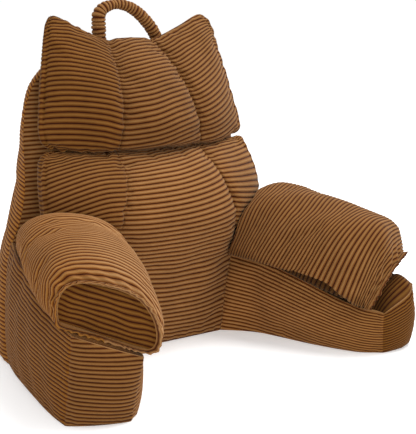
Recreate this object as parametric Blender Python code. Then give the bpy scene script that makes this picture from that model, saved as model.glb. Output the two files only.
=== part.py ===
"""Reading pillow with arms, in wide-wale corduroy.

A wedge back with two splayed arms is one filled shell. On it sit a lumbar
cushion and an eared head cushion, each sewn in three channels, a fat pad on
each arm, and a gathered carrying handle at the top.

Metres, +Z up, the seat opens towards -Y. The origin is the middle of the
footprint, on the floor. Shapes are worked out in the maker's frame, whose
zero lies under the ears, and moved by DEPTH_SHIFT at the end.
"""

import math

import bmesh
import bpy
from mathutils import Vector
from mathutils.bvhtree import BVHTree

for old in list(bpy.data.objects):
    bpy.data.objects.remove(old, do_unlink=True)

# ---------------------------------------------------------------- dimensions
GAP = 0.0003            # between pieces that touch
DEPTH_SHIFT = 0.147     # moves the footprint's middle to y = 0

FACE_Y = -0.065         # front face of the back wedge at the floor
FACE_LEAN = 0.136       # how far it leans back for each metre up
FOOT_TUCK = 0.012       # the walls turn under at the floor

SLOT_HALF = 0.134       # half the seat slot between the arms, at the floor
SLOT_FLARE = 0.09       # how much it widens for each metre up

ARM_ROOT = (0.133, -0.107)              # inner corner where an arm starts
ARM_SPLAY = math.radians(20.3)          # the arms open outwards
ARM_TOP = 0.1504                        # height of the sloped arm top at the root
ARM_FALL = 0.15                         # it falls towards the front
ARM_TILT = 0.38                         # and rises towards the outside

PAD_CENTRE = 0.070      # middle of the pad across the arm
PAD_HALF = 0.092        # half its width
PAD_SLUMP = 0.26        # its filling has slumped towards the seat
PAD_SKEW = 0.10         # its front end is turned outwards
PAD_REACH = 0.012       # how far around a point its rear end feels for the cushion
PAD_CLEAR = 0.004
PAD_LEAN = 0.42         # its rear end lies against the lumbar cushion

HANDLE_R = 0.0103
HANDLE_RINGS = 32

CLOTH = {
    "main_body": (0.185, 0.100, 0.036, 1),
    "lumbar_cushion": (0.215, 0.118, 0.043, 1),
    "head_cushion": (0.200, 0.108, 0.040, 1),
    "armrest": (0.240, 0.134, 0.052, 1),
    "handle": (0.185, 0.100, 0.036, 1),
}

# Each table is read by height (or by distance) with a smooth curve between rows.
# side band of the wedge: x and z of its front seam, then of its back seam
BAND = [
    # front_x, front_z, back_x, back_z
    (0.269, 0.212, 0.190, 0.220),
    (0.250, 0.248, 0.184, 0.262),
    (0.237, 0.292, 0.177, 0.304),
    (0.232, 0.340, 0.170, 0.345),
    (0.229, 0.390, 0.157, 0.392),
    (0.221, 0.435, 0.145, 0.436),
    (0.204, 0.472, 0.135, 0.472),
    (0.176, 0.502, 0.116, 0.501),
    (0.141, 0.522, 0.094, 0.520),
    (0.095, 0.533, 0.063, 0.530),
    (0.048, 0.538, 0.032, 0.535),
    (0.000, 0.539, 0.000, 0.536),
]
# arm wall on the floor: distance along the arm, distance outwards
OUTER_FLOOR = [(0.0023, 0.168), (0.060, 0.166), (0.117, 0.161), (0.224, 0.149), (0.290, 0.139), (0.331, 0.129)]
OUTER_TOP = [(-0.0184, 0.1555), (0.060, 0.156), (0.117, 0.153), (0.224, 0.142), (0.290, 0.132), (0.352, 0.120)]
INNER_FLOOR = [(0.000, 0.001), (0.030, 0.014), (0.069, 0.024), (0.110, 0.021), (0.199, 0.0095), (0.290, 0.010), (0.340, 0.030)]
INNER_TOP = [(0.010, 0.0133), (0.035, 0.016), (0.069, 0.018), (0.110, 0.015), (0.199, 0.010), (0.290, 0.009), (0.352, 0.012)]
# lumbar cushion: its channel seam (lower down, the seam to the arm wall)
LUMBAR_SEAM = [
    # z, x, depth, crown of the centre panel
    (0.000, 0.1337, 0.042, 0.000),
    (0.018, 0.1353, 0.046, 0.003),
    (0.050, 0.1382, 0.052, 0.008),
    (0.085, 0.1413, 0.059, 0.014),
    (0.118, 0.1443, 0.067, 0.020),
    (0.148, 0.1470, 0.077, 0.024),
    (0.176, 0.1440, 0.093, 0.026),
    (0.205, 0.1350, 0.112, 0.027),
    (0.238, 0.1260, 0.128, 0.028),
    (0.268, 0.1170, 0.131, 0.028),
    (0.298, 0.1070, 0.127, 0.027),
    (0.322, 0.0990, 0.116, 0.025),
    (0.341, 0.0935, 0.099, 0.021),
    (0.354, 0.0895, 0.080, 0.014),
    (0.3585, 0.0880, 0.060, 0.006),
]
LUMBAR_EDGE = [
    # z, x, depth of the outer edge of a side channel
    (0.226, 0.206, 0.036),
    (0.232, 0.222, 0.047),
    (0.246, 0.2325, 0.056),
    (0.268, 0.2370, 0.060),
    (0.298, 0.2360, 0.057),
    (0.325, 0.2310, 0.052),
    (0.347, 0.2235, 0.049),
    (0.359, 0.2160, 0.050),
    (0.3625, 0.2060, 0.048),
]
LUMBAR_SPLIT = 6        # row of LUMBAR_SEAM where the side channels begin
LUMBAR_SIDE_CROWN = 0.020
# head cushion: share of its height, seam x and depth, edge x and depth, crown
HEAD = [
    # share, seam_x, seam_depth, edge_x, edge_depth, crown
    (0.000, 0.0885, 0.052, 0.205, 0.040, 0.010),
    (0.022, 0.0885, 0.070, 0.214, 0.041, 0.018),
    (0.060, 0.0880, 0.083, 0.2185, 0.040, 0.024),
    (0.130, 0.0860, 0.090, 0.2195, 0.039, 0.029),
    (0.230, 0.0830, 0.093, 0.2160, 0.037, 0.031),
    (0.340, 0.0795, 0.090, 0.2110, 0.035, 0.031),
    (0.450, 0.0755, 0.083, 0.2060, 0.033, 0.030),
    (0.560, 0.0710, 0.073, 0.2005, 0.031, 0.028),
    (0.670, 0.0660, 0.060, 0.1950, 0.029, 0.026),
    (0.780, 0.0610, 0.045, 0.1895, 0.027, 0.022),
    (0.880, 0.0560, 0.031, 0.1840, 0.025, 0.017),
    (0.960, 0.0510, 0.021, 0.1770, 0.023, 0.011),
    (1.000, 0.0480, 0.015, 0.1690, 0.021, 0.004),
]
HEAD_LOW = [(0.0, 0.3620), (1.0, 0.3625), (1.5, 0.3640), (2.0, 0.3760)]     # z of the lower edge over the channels
HEAD_HIGH = [(0.0, 0.5570), (0.7, 0.5555), (1.0, 0.5530), (1.5, 0.5690), (1.8, 0.5880), (2.0, 0.6000)]
HEAD_SIDE_CROWN = 0.022
# armrest pad: distance along the arm, half width share, height, lift of the front underside
PAD = [
    # along, width, height
    (0.000, 0.20, 0.020),
    (0.001, 0.44, 0.040),
    (0.004, 0.66, 0.060),
    (0.010, 0.84, 0.082),
    (0.024, 0.95, 0.098),
    (0.050, 1.00, 0.107),
    (0.100, 1.04, 0.111),
    (0.160, 1.05, 0.109),
    (0.215, 1.04, 0.105),
    (0.265, 1.01, 0.100),
    (0.297, 0.97, 0.096),
    (0.320, 0.93, 0.090),
    (0.336, 0.89, 0.083),
    (0.343, 0.85, 0.078),
    (0.3455, 0.78, 0.071),
]
PAD_SECTION = [
    # across share, height share
    (-0.60, 0.000), (-0.80, 0.012), (-0.92, 0.070), (-0.985, 0.180), (-1.00, 0.330),
    (-0.97, 0.520), (-0.88, 0.700), (-0.73, 0.850), (-0.52, 0.945), (-0.27, 0.990),
    (0.00, 1.000),
    (0.27, 0.990), (0.52, 0.945), (0.73, 0.850), (0.88, 0.700), (0.97, 0.520),
    (1.00, 0.330), (0.985, 0.180), (0.92, 0.070), (0.80, 0.012), (0.60, 0.000), (0.00, 0.000),
]
# middle line of the handle
HANDLE = [
    # x, y, z
    (-0.0530, 0.0150, 0.5440),
    (-0.0545, 0.0130, 0.5600),
    (-0.0553, 0.0125, 0.5790),
    (-0.0540, 0.0125, 0.5985),
    (-0.0440, 0.0125, 0.6115),
    (-0.0265, 0.0130, 0.6180),
    (-0.0090, 0.0130, 0.6180),
    (0.0105, 0.0130, 0.6122),
    (0.0300, 0.0130, 0.6012),
    (0.0476, 0.0130, 0.5872),
    (0.0611, 0.0132, 0.5725),
    (0.0715, 0.0140, 0.5580),
    (0.0785, 0.0155, 0.5440),
]


# ---------------------------------------------------------------- small tools
def curve_at(table, t, key=0):
    """All columns of a table at t, on a smooth curve through its rows."""
    n = len(table)
    t = min(max(t, table[0][key]), table[-1][key])
    i = max(k for k in range(n - 1) if table[k][key] <= t)
    a, b = table[i], table[i + 1]
    before, after = table[max(i - 1, 0)], table[min(i + 2, n - 1)]
    f = (t - a[key]) / (b[key] - a[key])
    out = []
    for c in range(len(a)):
        m0 = (b[c] - before[c]) / (b[key] - before[key]) * (b[key] - a[key])
        m1 = (after[c] - a[c]) / (after[key] - a[key]) * (b[key] - a[key])
        out.append(
            (2 * f**3 - 3 * f**2 + 1) * a[c] + (f**3 - 2 * f**2 + f) * m0
            + (3 * f**2 - 2 * f**3) * b[c] + (f**3 - f**2) * m1
        )
    return out


def along_table(table, count):
    """count points along a table's smooth curve, evenly by row number."""
    numbered = [(i,) + tuple(row) for i, row in enumerate(table)]
    last = len(table) - 1
    return [curve_at(numbered, last * k / (count - 1))[1:] for k in range(count)]


def bulge(f):
    """Crown of a filled panel from edge to edge."""
    return (4 * f * (1 - f)) ** 0.7 if 0 < f < 1 else 0.0


def face_y(z):
    return FACE_Y + FACE_LEAN * z


def slot_x(z):
    return SLOT_HALF + SLOT_FLARE * z


def arm_point(along, out):
    s, c = math.sin(ARM_SPLAY), math.cos(ARM_SPLAY)
    return ARM_ROOT[0] + along * s + out * c, ARM_ROOT[1] - along * c + out * s


def arm_top(along, out):
    return ARM_TOP - ARM_FALL * along + ARM_TILT * out


def on_arm_top(along, out):
    x, y = arm_point(along, out)
    return Vector((x, y, arm_top(along, out)))


def arm_coordinates(x, y):
    s, c = math.sin(ARM_SPLAY), math.cos(ARM_SPLAY)
    dx, dy = x - ARM_ROOT[0], y - ARM_ROOT[1]
    return dx * s - dy * c, dx * c + dy * s


def top_meets_face(x_of_height):
    """The point where the arm top meets the wedge's face, for an x that may depend on height."""
    z = 0.18
    for _ in range(20):
        z = arm_top(*arm_coordinates(x_of_height(z), face_y(z)))
    return Vector((x_of_height(z), face_y(z), z))


def coons(low, high, left, right, crown=0.0):
    """Panel between four seams. Rows run from low to high, columns from left to right."""
    rows, cols = len(left), len(low)
    grid = []
    for j in range(rows):
        v = j / (rows - 1)
        line = []
        for i in range(cols):
            u = i / (cols - 1)
            p = (1 - v) * low[i] + v * high[i] + (1 - u) * left[j] + u * right[j]
            p = p - ((1 - u) * (1 - v) * low[0] + u * (1 - v) * low[-1] + (1 - u) * v * high[0] + u * v * high[-1])
            line.append(p)
        grid.append(line)
    if crown:
        flat = [[p.copy() for p in line] for line in grid]
        for j in range(1, rows - 1):
            for i in range(1, cols - 1):
                across = flat[j][i + 1] - flat[j][i - 1]
                up = flat[j + 1][i] - flat[j - 1][i]
                normal = across.cross(up).normalized()
                grid[j][i] = flat[j][i] + normal * crown * bulge(i / (cols - 1)) * bulge(j / (rows - 1))
    return grid


def add_grid(bm, grid, mirror=True):
    """Faces of a grid of points, with their mirror image over x = 0."""
    for side in (1, -1) if mirror else (1,):
        made = [[bm.verts.new((side * p.x, p.y, p.z)) for p in line] for line in grid]
        for low, high in zip(made, made[1:]):
            for i in range(len(low) - 1):
                quad = [low[i], low[i + 1], high[i + 1], high[i]]
                bm.faces.new(quad if side == 1 else quad[::-1])


def weld(bm, distance=2e-5):
    bmesh.ops.remove_doubles(bm, verts=bm.verts, dist=distance)
    bmesh.ops.dissolve_degenerate(bm, edges=bm.edges, dist=distance)


def fill_flat(bm, test):
    """Closes each loop of open edges whose ends both pass the test with one flat face."""
    edges = [e for e in bm.edges if len(e.link_faces) < 2 and all(test(v.co) for v in e.verts)]
    bmesh.ops.edgeloop_fill(bm, edges=edges)


def place(bm, name, colour, angle=50):
    """Makes the object from its mesh, and moves it into the part's frame."""
    bmesh.ops.recalc_face_normals(bm, faces=bm.faces)
    mesh = bpy.data.meshes.new(name)
    bm.to_mesh(mesh)
    bm.free()
    mesh.shade_smooth()
    mesh.set_sharp_from_angle(angle=math.radians(angle))
    material = bpy.data.materials.get(colour) or bpy.data.materials.new(colour)
    material.use_nodes = True
    shader = material.node_tree.nodes["Principled BSDF"]
    shader.inputs["Base Color"].default_value = CLOTH[colour]
    shader.inputs["Roughness"].default_value = 0.95
    mesh.materials.append(material)
    obj = bpy.data.objects.new(name, mesh)
    bpy.context.collection.objects.link(obj)
    obj.parent = frame
    return obj


frame = bpy.data.objects.new("pillow_frame", None)
frame.location = (0, DEPTH_SHIFT, 0)
bpy.context.collection.objects.link(frame)


# ---------------------------------------------------------------- main body
def main_body():
    bm = bmesh.new()
    rows = [0.0, 0.06, 0.17, 0.33, 0.50, 0.67, 0.83, 1.0]     # shares of an arm wall's height

    # the line where an arm's outer wall meets the side of the wedge
    foot = Vector((*arm_point(*OUTER_FLOOR[0]), 0))
    head = top_meets_face(lambda z: BAND[0][0])
    root = []
    for share in rows:
        p = foot.lerp(head, share)
        p.x += 0.007 * bulge(share)
        root.append(p)
    root[0], root[-1] = foot, head

    # side band of the wedge, from the floor up and over the top
    back_corner = Vector((0.215, 0.126, 0))
    front_seam, back_seam = [], []
    for share, p in zip(rows[:-1], root[:-1]):
        front_seam.append(p)
        q = back_corner.lerp(Vector((BAND[0][2], 0.128 - 0.11 * BAND[0][3], BAND[0][3])), share)
        back_seam.append(q + Vector((0.008, 0.004, 0)) * bulge(share))
    for front_x, front_z, back_x, back_z in BAND:
        front_seam.append(Vector((front_x, face_y(front_z), front_z)))
        back_seam.append(Vector((back_x, 0.128 - 0.11 * back_z, back_z)))
    front_seam[len(rows) - 1] = head
    band_cols = 5
    floor_side = [back_corner.lerp(foot, i / band_cols) for i in range(band_cols + 1)]
    for i in range(1, band_cols):
        floor_side[i].x += 0.010 * bulge(i / band_cols)
    over_top = [back_seam[-1].lerp(front_seam[-1], i / band_cols) for i in range(band_cols + 1)]
    for i in range(1, band_cols):
        over_top[i].z += 0.007 * bulge(i / band_cols)
    band = coons(floor_side, over_top, back_seam, front_seam)
    for j in range(1, len(band) - 1):
        for i in range(1, band_cols):
            across = band[j][i + 1] - band[j][i - 1]
            up = band[j + 1][i] - band[j - 1][i]
            out = across.cross(up).normalized()
            band[j][i] = band[j][i] + out * 0.006 * bulge(i / band_cols)
    add_grid(bm, band)

    # back panel
    cols = 8
    back = []
    for seam in back_seam:
        line = []
        for i in range(cols + 1):
            u = 2 * i / cols - 1
            share = min(seam.x / 0.14, 1.0)
            line.append(Vector((-u * seam.x, seam.y + 0.022 * share * (1 - u * u) ** 0.8, seam.z)))
        back.append(line)
    add_grid(bm, back, mirror=False)

    # arm walls: outer, front and inner
    outer_low = [Vector((*arm_point(*p), 0)) for p in along_table(OUTER_FLOOR, 10)]
    outer_high = [on_arm_top(*p) for p in along_table(OUTER_TOP, 10)]
    outer_low[0], outer_high[0] = root[0], root[-1]
    front_out = [outer_low[-1].lerp(outer_high[-1], share) for share in rows]
    add_grid(bm, coons(outer_low, outer_high, root, front_out, 0.007))

    inner_low = [Vector((*arm_point(*p), 0)) for p in along_table(INNER_FLOOR, 9)]
    inner_high = [on_arm_top(*p) for p in along_table(INNER_TOP, 9)]
    corner_low = Vector((SLOT_HALF, ARM_ROOT[1], 0))
    corner_high = Vector(inner_high[0])
    corner_high.x = slot_x(corner_high.z)
    corner_high.z = arm_top(*arm_coordinates(corner_high.x, corner_high.y))
    inner_low[0], inner_high[0] = corner_low, corner_high
    front_in = [inner_low[-1].lerp(inner_high[-1], share) for share in rows]

    front_low = [outer_low[-1].lerp(inner_low[-1], i / 5) for i in range(6)]
    front_high = [outer_high[-1].lerp(inner_high[-1], i / 5) for i in range(6)]
    ahead = Vector((math.sin(ARM_SPLAY), -math.cos(ARM_SPLAY), 0))
    for i in range(1, 5):
        front_low[i] += ahead * 0.008 * bulge(i / 5)
        front_high[i] += ahead * 0.006 * bulge(i / 5)
        front_high[i].z = arm_top(*arm_coordinates(front_high[i].x, front_high[i].y))
    add_grid(bm, coons(front_low, front_high, front_out, front_in, 0.010))

    corner = [corner_low.lerp(corner_high, share) for share in rows]
    add_grid(bm, coons(inner_low[::-1], inner_high[::-1], front_in, corner, 0.012))

    # the flat wall of the seat slot, against which the lumbar cushion lies
    slot_low = Vector((SLOT_HALF, FACE_Y, 0))
    slot_high = top_meets_face(slot_x)
    slot = [slot_low.lerp(slot_high, share) for share in rows]
    add_grid(bm, [[a, b] for a, b in zip(corner, slot)])

    weld(bm)
    # edge across the arm's root, where its top meets the front face
    for side in (1, -1):
        ends = []
        for p in (slot_high, head):
            target = Vector((side * p.x, p.y, p.z))
            ends.append(min(bm.verts, key=lambda v: (v.co - target).length))
        bm.edges.new(ends)
    ends = [min(bm.verts, key=lambda v: (v.co - Vector((side * SLOT_HALF, FACE_Y, 0))).length) for side in (1, -1)]
    bm.edges.new(ends)

    fill_flat(bm, lambda p: abs(p.y - face_y(p.z)) < 2e-5)
    for side in (1, -1):
        fill_flat(bm, lambda p: p.x * side > 0.1 and abs(p.z - arm_top(*arm_coordinates(abs(p.x), p.y))) < 2e-5)
    fill_flat(bm, lambda p: abs(p.z) < 1e-6)
    return place(bm, "main_body", "main_body", 35)


# ---------------------------------------------------------------- cushions
def side_fill(z):
    """How full the lumbar's side channels are: pressed flat behind the pads, full above them."""
    low, high = LUMBAR_SEAM[LUMBAR_SPLIT][0], LUMBAR_SEAM[-1][0]
    f = (z - low) / (high - low)
    return min(1.0, max(0.0, 2.4 * f)) * bulge(0.5 + 0.5 * f) ** 0.5 if f < 1 else 0.0


def side_bulge(u):
    """Crown over a side channel: full beside the seam, flat towards the edge."""
    return bulge(u ** 0.8)


def cushion(bm, cells, footprint):
    """Closes a quilted front with a turned-in side and one flat back.

    cells are the front's faces as lists of points. footprint moves a point of
    the outer edge to its place on the flat back.
    """
    for cell in cells:
        bm.faces.new([bm.verts.new(p) for p in cell])
    weld(bm)
    rim = [e for e in bm.edges if len(e.link_faces) == 1]
    made = bmesh.ops.extrude_edge_only(bm, edges=rim)["geom"]
    back = [g for g in made if isinstance(g, bmesh.types.BMVert)]
    for v in back:
        v.co = footprint(v.co.copy())
    bmesh.ops.edgeloop_fill(bm, edges=[g for g in made if isinstance(g, bmesh.types.BMEdge) and len(g.link_faces) == 1])


def grid_cells(grid):
    return [
        [low[i], low[i + 1], high[i + 1], high[i]]
        for low, high in zip(grid, grid[1:])
        for i in range(len(low) - 1)
    ]


def on_face(x, z, depth=GAP):
    """A point at a depth in front of the wedge's leaning face."""
    return Vector((x, face_y(z) - depth, z))


def lumbar_cushion():
    bm = bmesh.new()
    half, side_cols = 5, 5
    centre, wings = [], {1: [], -1: []}
    for j, (z, seam_x, seam_depth, crown) in enumerate(LUMBAR_SEAM):
        line = []
        for i in range(-half, half + 1):
            u = i / half
            line.append(on_face(u * seam_x, z, seam_depth + crown * bulge(0.5 + 0.5 * abs(u))))
        centre.append(line)
        if j < LUMBAR_SPLIT:
            continue
        edge = LUMBAR_EDGE[j - LUMBAR_SPLIT]
        for side in wings:
            line = []
            for i in range(side_cols + 1):
                u = i / side_cols
                height = z + (edge[0] - z) * u
                depth = (1 - u) * seam_depth + u * edge[2]
                depth += LUMBAR_SIDE_CROWN * side_bulge(u) * side_fill(z)
                line.append(on_face(side * (seam_x + (edge[1] - seam_x) * u), height, depth))
            wings[side].append(line)
    cells = grid_cells(centre)
    cells += grid_cells(wings[1])
    cells += [cell[::-1] for cell in grid_cells(wings[-1])]

    low = LUMBAR_SEAM[LUMBAR_SPLIT][0]

    def footprint(p):
        if p.z < low - 1e-4:
            return on_face(p.x, p.z)
        x = min(abs(p.x), 0.196 + 0.1 * (abs(p.x) - 0.196))
        z = min(max(p.z, 0.2), 0.345)
        if abs(p.x) > 0.15 and p.z < 0.23:
            z = 0.225
        return on_face(math.copysign(x, p.x), z)

    cushion(bm, cells, footprint)
    return place(bm, "lumbar_cushion", "lumbar_cushion", 60)


def head_point(u, share):
    """A point of the head cushion's front: u is 0 at the middle, 1 at a channel seam, 2 at an edge."""
    _, seam_x, seam_depth, edge_x, edge_depth, crown = curve_at(HEAD, share)
    side, a = math.copysign(1, u), abs(u)
    z = curve_at(HEAD_LOW, a)[1] * (1 - share) + curve_at(HEAD_HIGH, a)[1] * share
    if a <= 1:
        return on_face(u * seam_x, z, seam_depth + crown * bulge(0.5 + 0.5 * a))
    f = a - 1
    x = seam_x + (edge_x - seam_x) * f
    depth = (1 - f) * seam_depth + f * edge_depth + HEAD_SIDE_CROWN * side_bulge(f) * bulge(share) ** 0.5
    return on_face(side * x, z, depth)


def head_cushion():
    bm = bmesh.new()
    stops = [-2 + i * 0.2 for i in range(21)]
    grid = [[head_point(u, row[0]) for u in stops] for row in HEAD]

    def footprint(p):
        x = abs(p.x)
        inset_x = min(x, 0.168 - 0.25 * max(p.z - 0.47, 0))
        z = min(max(p.z, 0.372), 0.532 - 0.10 * max(inset_x - 0.12, 0))
        return on_face(math.copysign(inset_x, p.x), z)

    cushion(bm, grid_cells(grid), footprint)
    return place(bm, "head_cushion", "head_cushion", 60)


# ---------------------------------------------------------------- armrest pads
def skin_of(obj):
    return BVHTree.FromPolygons([v.co for v in obj.data.vertices], [p.vertices for p in obj.data.polygons])


def pressed(skin, p):
    """Moves a point forward until it clears a cushion's skin, looking a little to each side of it."""
    for dx, dz in ((0, 0), (PAD_REACH, 0), (-PAD_REACH, 0), (0, PAD_REACH), (0, -PAD_REACH)):
        hit = skin.ray_cast(Vector((p.x + dx, -1, p.z + dz)), Vector((0, 1, 0)))[0]
        if hit and hit.y - PAD_CLEAR < p.y:
            p.y = hit.y - PAD_CLEAR
    return p


def armrest(name, side, lumbar):
    """A slumped D-shaped pad, lying on the arm, its rear end pressed against the lumbar cushion."""
    bm = bmesh.new()
    skin = skin_of(lumbar)
    rings = []
    for along, width, height in PAD:
        ring = []
        for across, up in PAD_SECTION:
            h = up * height * (1 - PAD_SLUMP * across)
            out = PAD_CENTRE + across * width * PAD_HALF * (1.0 - 0.09 * across)
            lean = max(0.0, 1 - along / 0.12)
            skew = min(1.0, max(0.0, (along - 0.14) / 0.16))
            s = along + PAD_LEAN * h * lean - PAD_SKEW * (out - PAD_CENTRE) * skew
            p = Vector((*arm_point(s, out), arm_top(s, out) + GAP + h))
            if along < 0.10:
                p = pressed(skin, p)
                p.z = arm_top(*arm_coordinates(p.x, p.y)) + GAP + h
            ring.append(bm.verts.new((side * p.x, p.y, p.z)))
        rings.append(ring)
    for a, b in zip(rings, rings[1:]):
        for i in range(len(a)):
            j = (i + 1) % len(a)
            bm.faces.new((a[i], a[j], b[j], b[i]))
    bm.faces.new(rings[0][::-1])
    bm.faces.new(rings[-1])
    return place(bm, name, "armrest", 60)


# ---------------------------------------------------------------- handle
def handle(body):
    """A gathered tube whose flat ends stand on the crown of the wedge's top."""
    bm = bmesh.new()
    sides = 12
    steps = HANDLE_RINGS * 2
    line = [Vector(p) for p in along_table(HANDLE, steps + 1)]
    skin = skin_of(body)
    rings = []
    for k, p in enumerate(line):
        ahead = (line[min(k + 1, steps)] - line[max(k - 1, 0)]).normalized()
        across = Vector((0, 1, 0)).cross(ahead).normalized()
        other = ahead.cross(across)
        r = HANDLE_R * (1.0 if k % 2 else 0.86)
        ring = []
        for i in range(sides):
            a = 2 * math.pi * i / sides
            ring.append(bm.verts.new(p + (across * math.cos(a) + other * math.sin(a)) * r))
        if k in (0, steps):
            hits = [skin.ray_cast(Vector((v.co.x, v.co.y, 1)), Vector((0, 0, -1)))[0] for v in ring]
            stand = max(hit.z for hit in hits if hit) + 2 * GAP
            for v in ring:
                v.co.z = stand
        rings.append(ring)
    for a, b in zip(rings, rings[1:]):
        for i in range(sides):
            j = (i + 1) % sides
            bm.faces.new((a[i], a[j], b[j], b[i]))
    bm.faces.new(rings[0][::-1])
    bm.faces.new(rings[-1])
    return place(bm, "handle", "handle", 60)


body = main_body()
lumbar = lumbar_cushion()
head_cushion()
armrest("armrest_right", 1, lumbar)
armrest("armrest_left", -1, lumbar)
handle(body)
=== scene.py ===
# %% [markdown]
# # A reading pillow with arms, in wide-wale corduroy
# This notebook dresses a finished frame. The frame holds the real sizes and
# the plain solids of the pillow; here each solid gets the cloth it is made of.
# The pillow is a wedge back with two arms, a lumbar cushion and an eared head
# cushion in three channels each, a fat pad on each arm, and a gathered handle.

# %% Load the frame
import math
from dataclasses import dataclass, field, replace

import bmesh
import bpy
import numpy as np
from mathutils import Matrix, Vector
from mathutils.bvhtree import BVHTree


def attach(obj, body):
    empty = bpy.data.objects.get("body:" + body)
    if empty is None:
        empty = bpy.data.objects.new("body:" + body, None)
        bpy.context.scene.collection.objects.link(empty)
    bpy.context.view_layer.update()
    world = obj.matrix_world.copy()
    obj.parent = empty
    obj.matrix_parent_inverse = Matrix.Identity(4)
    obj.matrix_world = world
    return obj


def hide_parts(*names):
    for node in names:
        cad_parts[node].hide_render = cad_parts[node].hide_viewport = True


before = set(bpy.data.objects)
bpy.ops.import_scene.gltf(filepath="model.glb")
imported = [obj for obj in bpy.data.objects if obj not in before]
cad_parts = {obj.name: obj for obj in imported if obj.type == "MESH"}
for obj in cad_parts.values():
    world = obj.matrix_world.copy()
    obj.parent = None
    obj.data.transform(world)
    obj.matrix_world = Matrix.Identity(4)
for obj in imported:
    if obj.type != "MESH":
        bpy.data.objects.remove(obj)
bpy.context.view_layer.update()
bpy.ops.object.select_all(action="DESELECT")
print("frame:", sorted(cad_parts))

# %% [markdown]
# ## Camera
# The photograph was taken from the front left, a little above the ears, with
# a long lens. A camera object takes a place, three turning angles and a focal
# length; a long lens keeps the far arm nearly as big as the near one.

# %% Camera
CAMERA_PLACE = (-1.2106, -1.6726, 0.6252)
CAMERA_TURN = (79.48, 0.0, -37.5)        # degrees about X, Y and Z
CAMERA_LENS = 97.18                      # millimetres, on a 36 mm sensor

scene = bpy.context.scene
camera = bpy.data.objects.new("camera", bpy.data.cameras.new("camera"))
scene.collection.objects.link(camera)
camera.location = CAMERA_PLACE
camera.rotation_euler = [math.radians(a) for a in CAMERA_TURN]
camera.data.lens = CAMERA_LENS
camera.data.sensor_width = 36
camera.data.dof.use_dof = False
scene.camera = camera
print("camera at", CAMERA_PLACE, "lens", CAMERA_LENS)

# %% [markdown]
# ## Shader maths
# A material is a small network of nodes. Drawing each link by hand is slow to
# read, so one class wraps a socket and lets Python's own signs add the Math
# nodes: `1 - groove` makes a Subtract node. Colours are blended with Mix.

# %% The wires class
class Wire:
    """A socket of a material's network that can be reckoned with."""

    def __init__(self, tree, socket):
        self.tree, self.socket = tree, socket

    def node(self, kind, settings=None, **inputs):
        """Adds a node: its settings first, then the values or wires of its sockets."""
        made = self.tree.nodes.new("ShaderNode" + kind)
        for key, value in (settings or {}).items():
            setattr(made, key, value)
        for name, value in inputs.items():      # _0 is the first socket, Base_Color one of that name
            key = int(name[1:]) if name[0] == "_" else name.replace("_", " ")
            if isinstance(value, Wire):
                self.tree.links.new(value.socket, made.inputs[key])
            else:
                made.inputs[key].default_value = value
        return made

    def wire(self, kind, settings=None, out=0, **inputs):
        """The same, and gives back one of the node's results."""
        return Wire(self.tree, self.node(kind, settings, **inputs).outputs[out])

    def math(self, operation, a, b=0.0):
        return self.wire("Math", {"operation": operation}, _0=a, _1=b)

    def __add__(self, other):
        return self.math("ADD", self, other)

    def __sub__(self, other):
        return self.math("SUBTRACT", self, other)

    def __mul__(self, other):
        return self.math("MULTIPLY", self, other)

    def __mod__(self, other):
        return self.math("FLOORED_MODULO", self, other)

    def __abs__(self):
        return self.math("ABSOLUTE", self)

    def __radd__(self, other):
        return self.math("ADD", other, self)

    def __rsub__(self, other):
        return self.math("SUBTRACT", other, self)

    def __rmul__(self, other):
        return self.math("MULTIPLY", other, self)

    def step(self, low, high):
        """0 below low, 1 above high, with a soft ramp between."""
        return self.wire("MapRange", {"interpolation_type": "SMOOTHSTEP"}, Value=self,
                         From_Min=low, From_Max=high)

    def blend(self, first, second):
        """A colour between two, by this wire's value."""
        return self.wire("Mix", {"data_type": "RGBA"}, out=2, _0=self, _6=first, _7=second)

    def times(self, other):
        """This colour multiplied by another."""
        settings = {"data_type": "RGBA", "blend_type": "MULTIPLY"}
        return self.wire("Mix", settings, out=2, _0=1.0, _6=self, _7=other)


def colour(r, g, b):
    return (r, g, b, 1.0)


print("wires ready")

# %% [markdown]
# ## The corduroy
# Corduroy is woven with raised cords of cut pile, called wales, and a thin
# bare line between them. The cords are real ridges in the mesh. The material
# adds what is smaller: the dark bare line, its own darker weave with painted
# shade of the groove on top, the sides of the cords painted darker as their
# shade, the tufts of the pile, and the cloudy light and dark where a hand has
# stroked the nap. Each piece carries a UV map that counts wales in V and runs
# in metres in U, so the pattern turns with the cloth. An attribute tints each
# panel with painted light and shade: lighter, darker or warmer by how light
# falls on that part of the pillow.

# %% The corduroy material
# The sides' colour is painted shade of the cords; the groove's is the bare line's own darker weave with
# painted shade of the groove on top.
RIDGE = (0.224, 0.113, 0.040)     # tops of the wales
FLANK_SHADE = (0.132, 0.046, 0.009)     # their sides
GROOVE_AND_SHADE = (0.034, 0.005, 0.001)    # the bare line between them
# One corduroy in lit and shaded copies: each tone is painted light or shade for its part, and the
# head's copy is painted darkest, as shade.
LIGHT_AND_SHADE_TONES = {"body_corduroy": 0.94, "cushion_corduroy": 1.0,
         "head_corduroy_shaded": 0.84, "pad_corduroy": 0.98}


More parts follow.
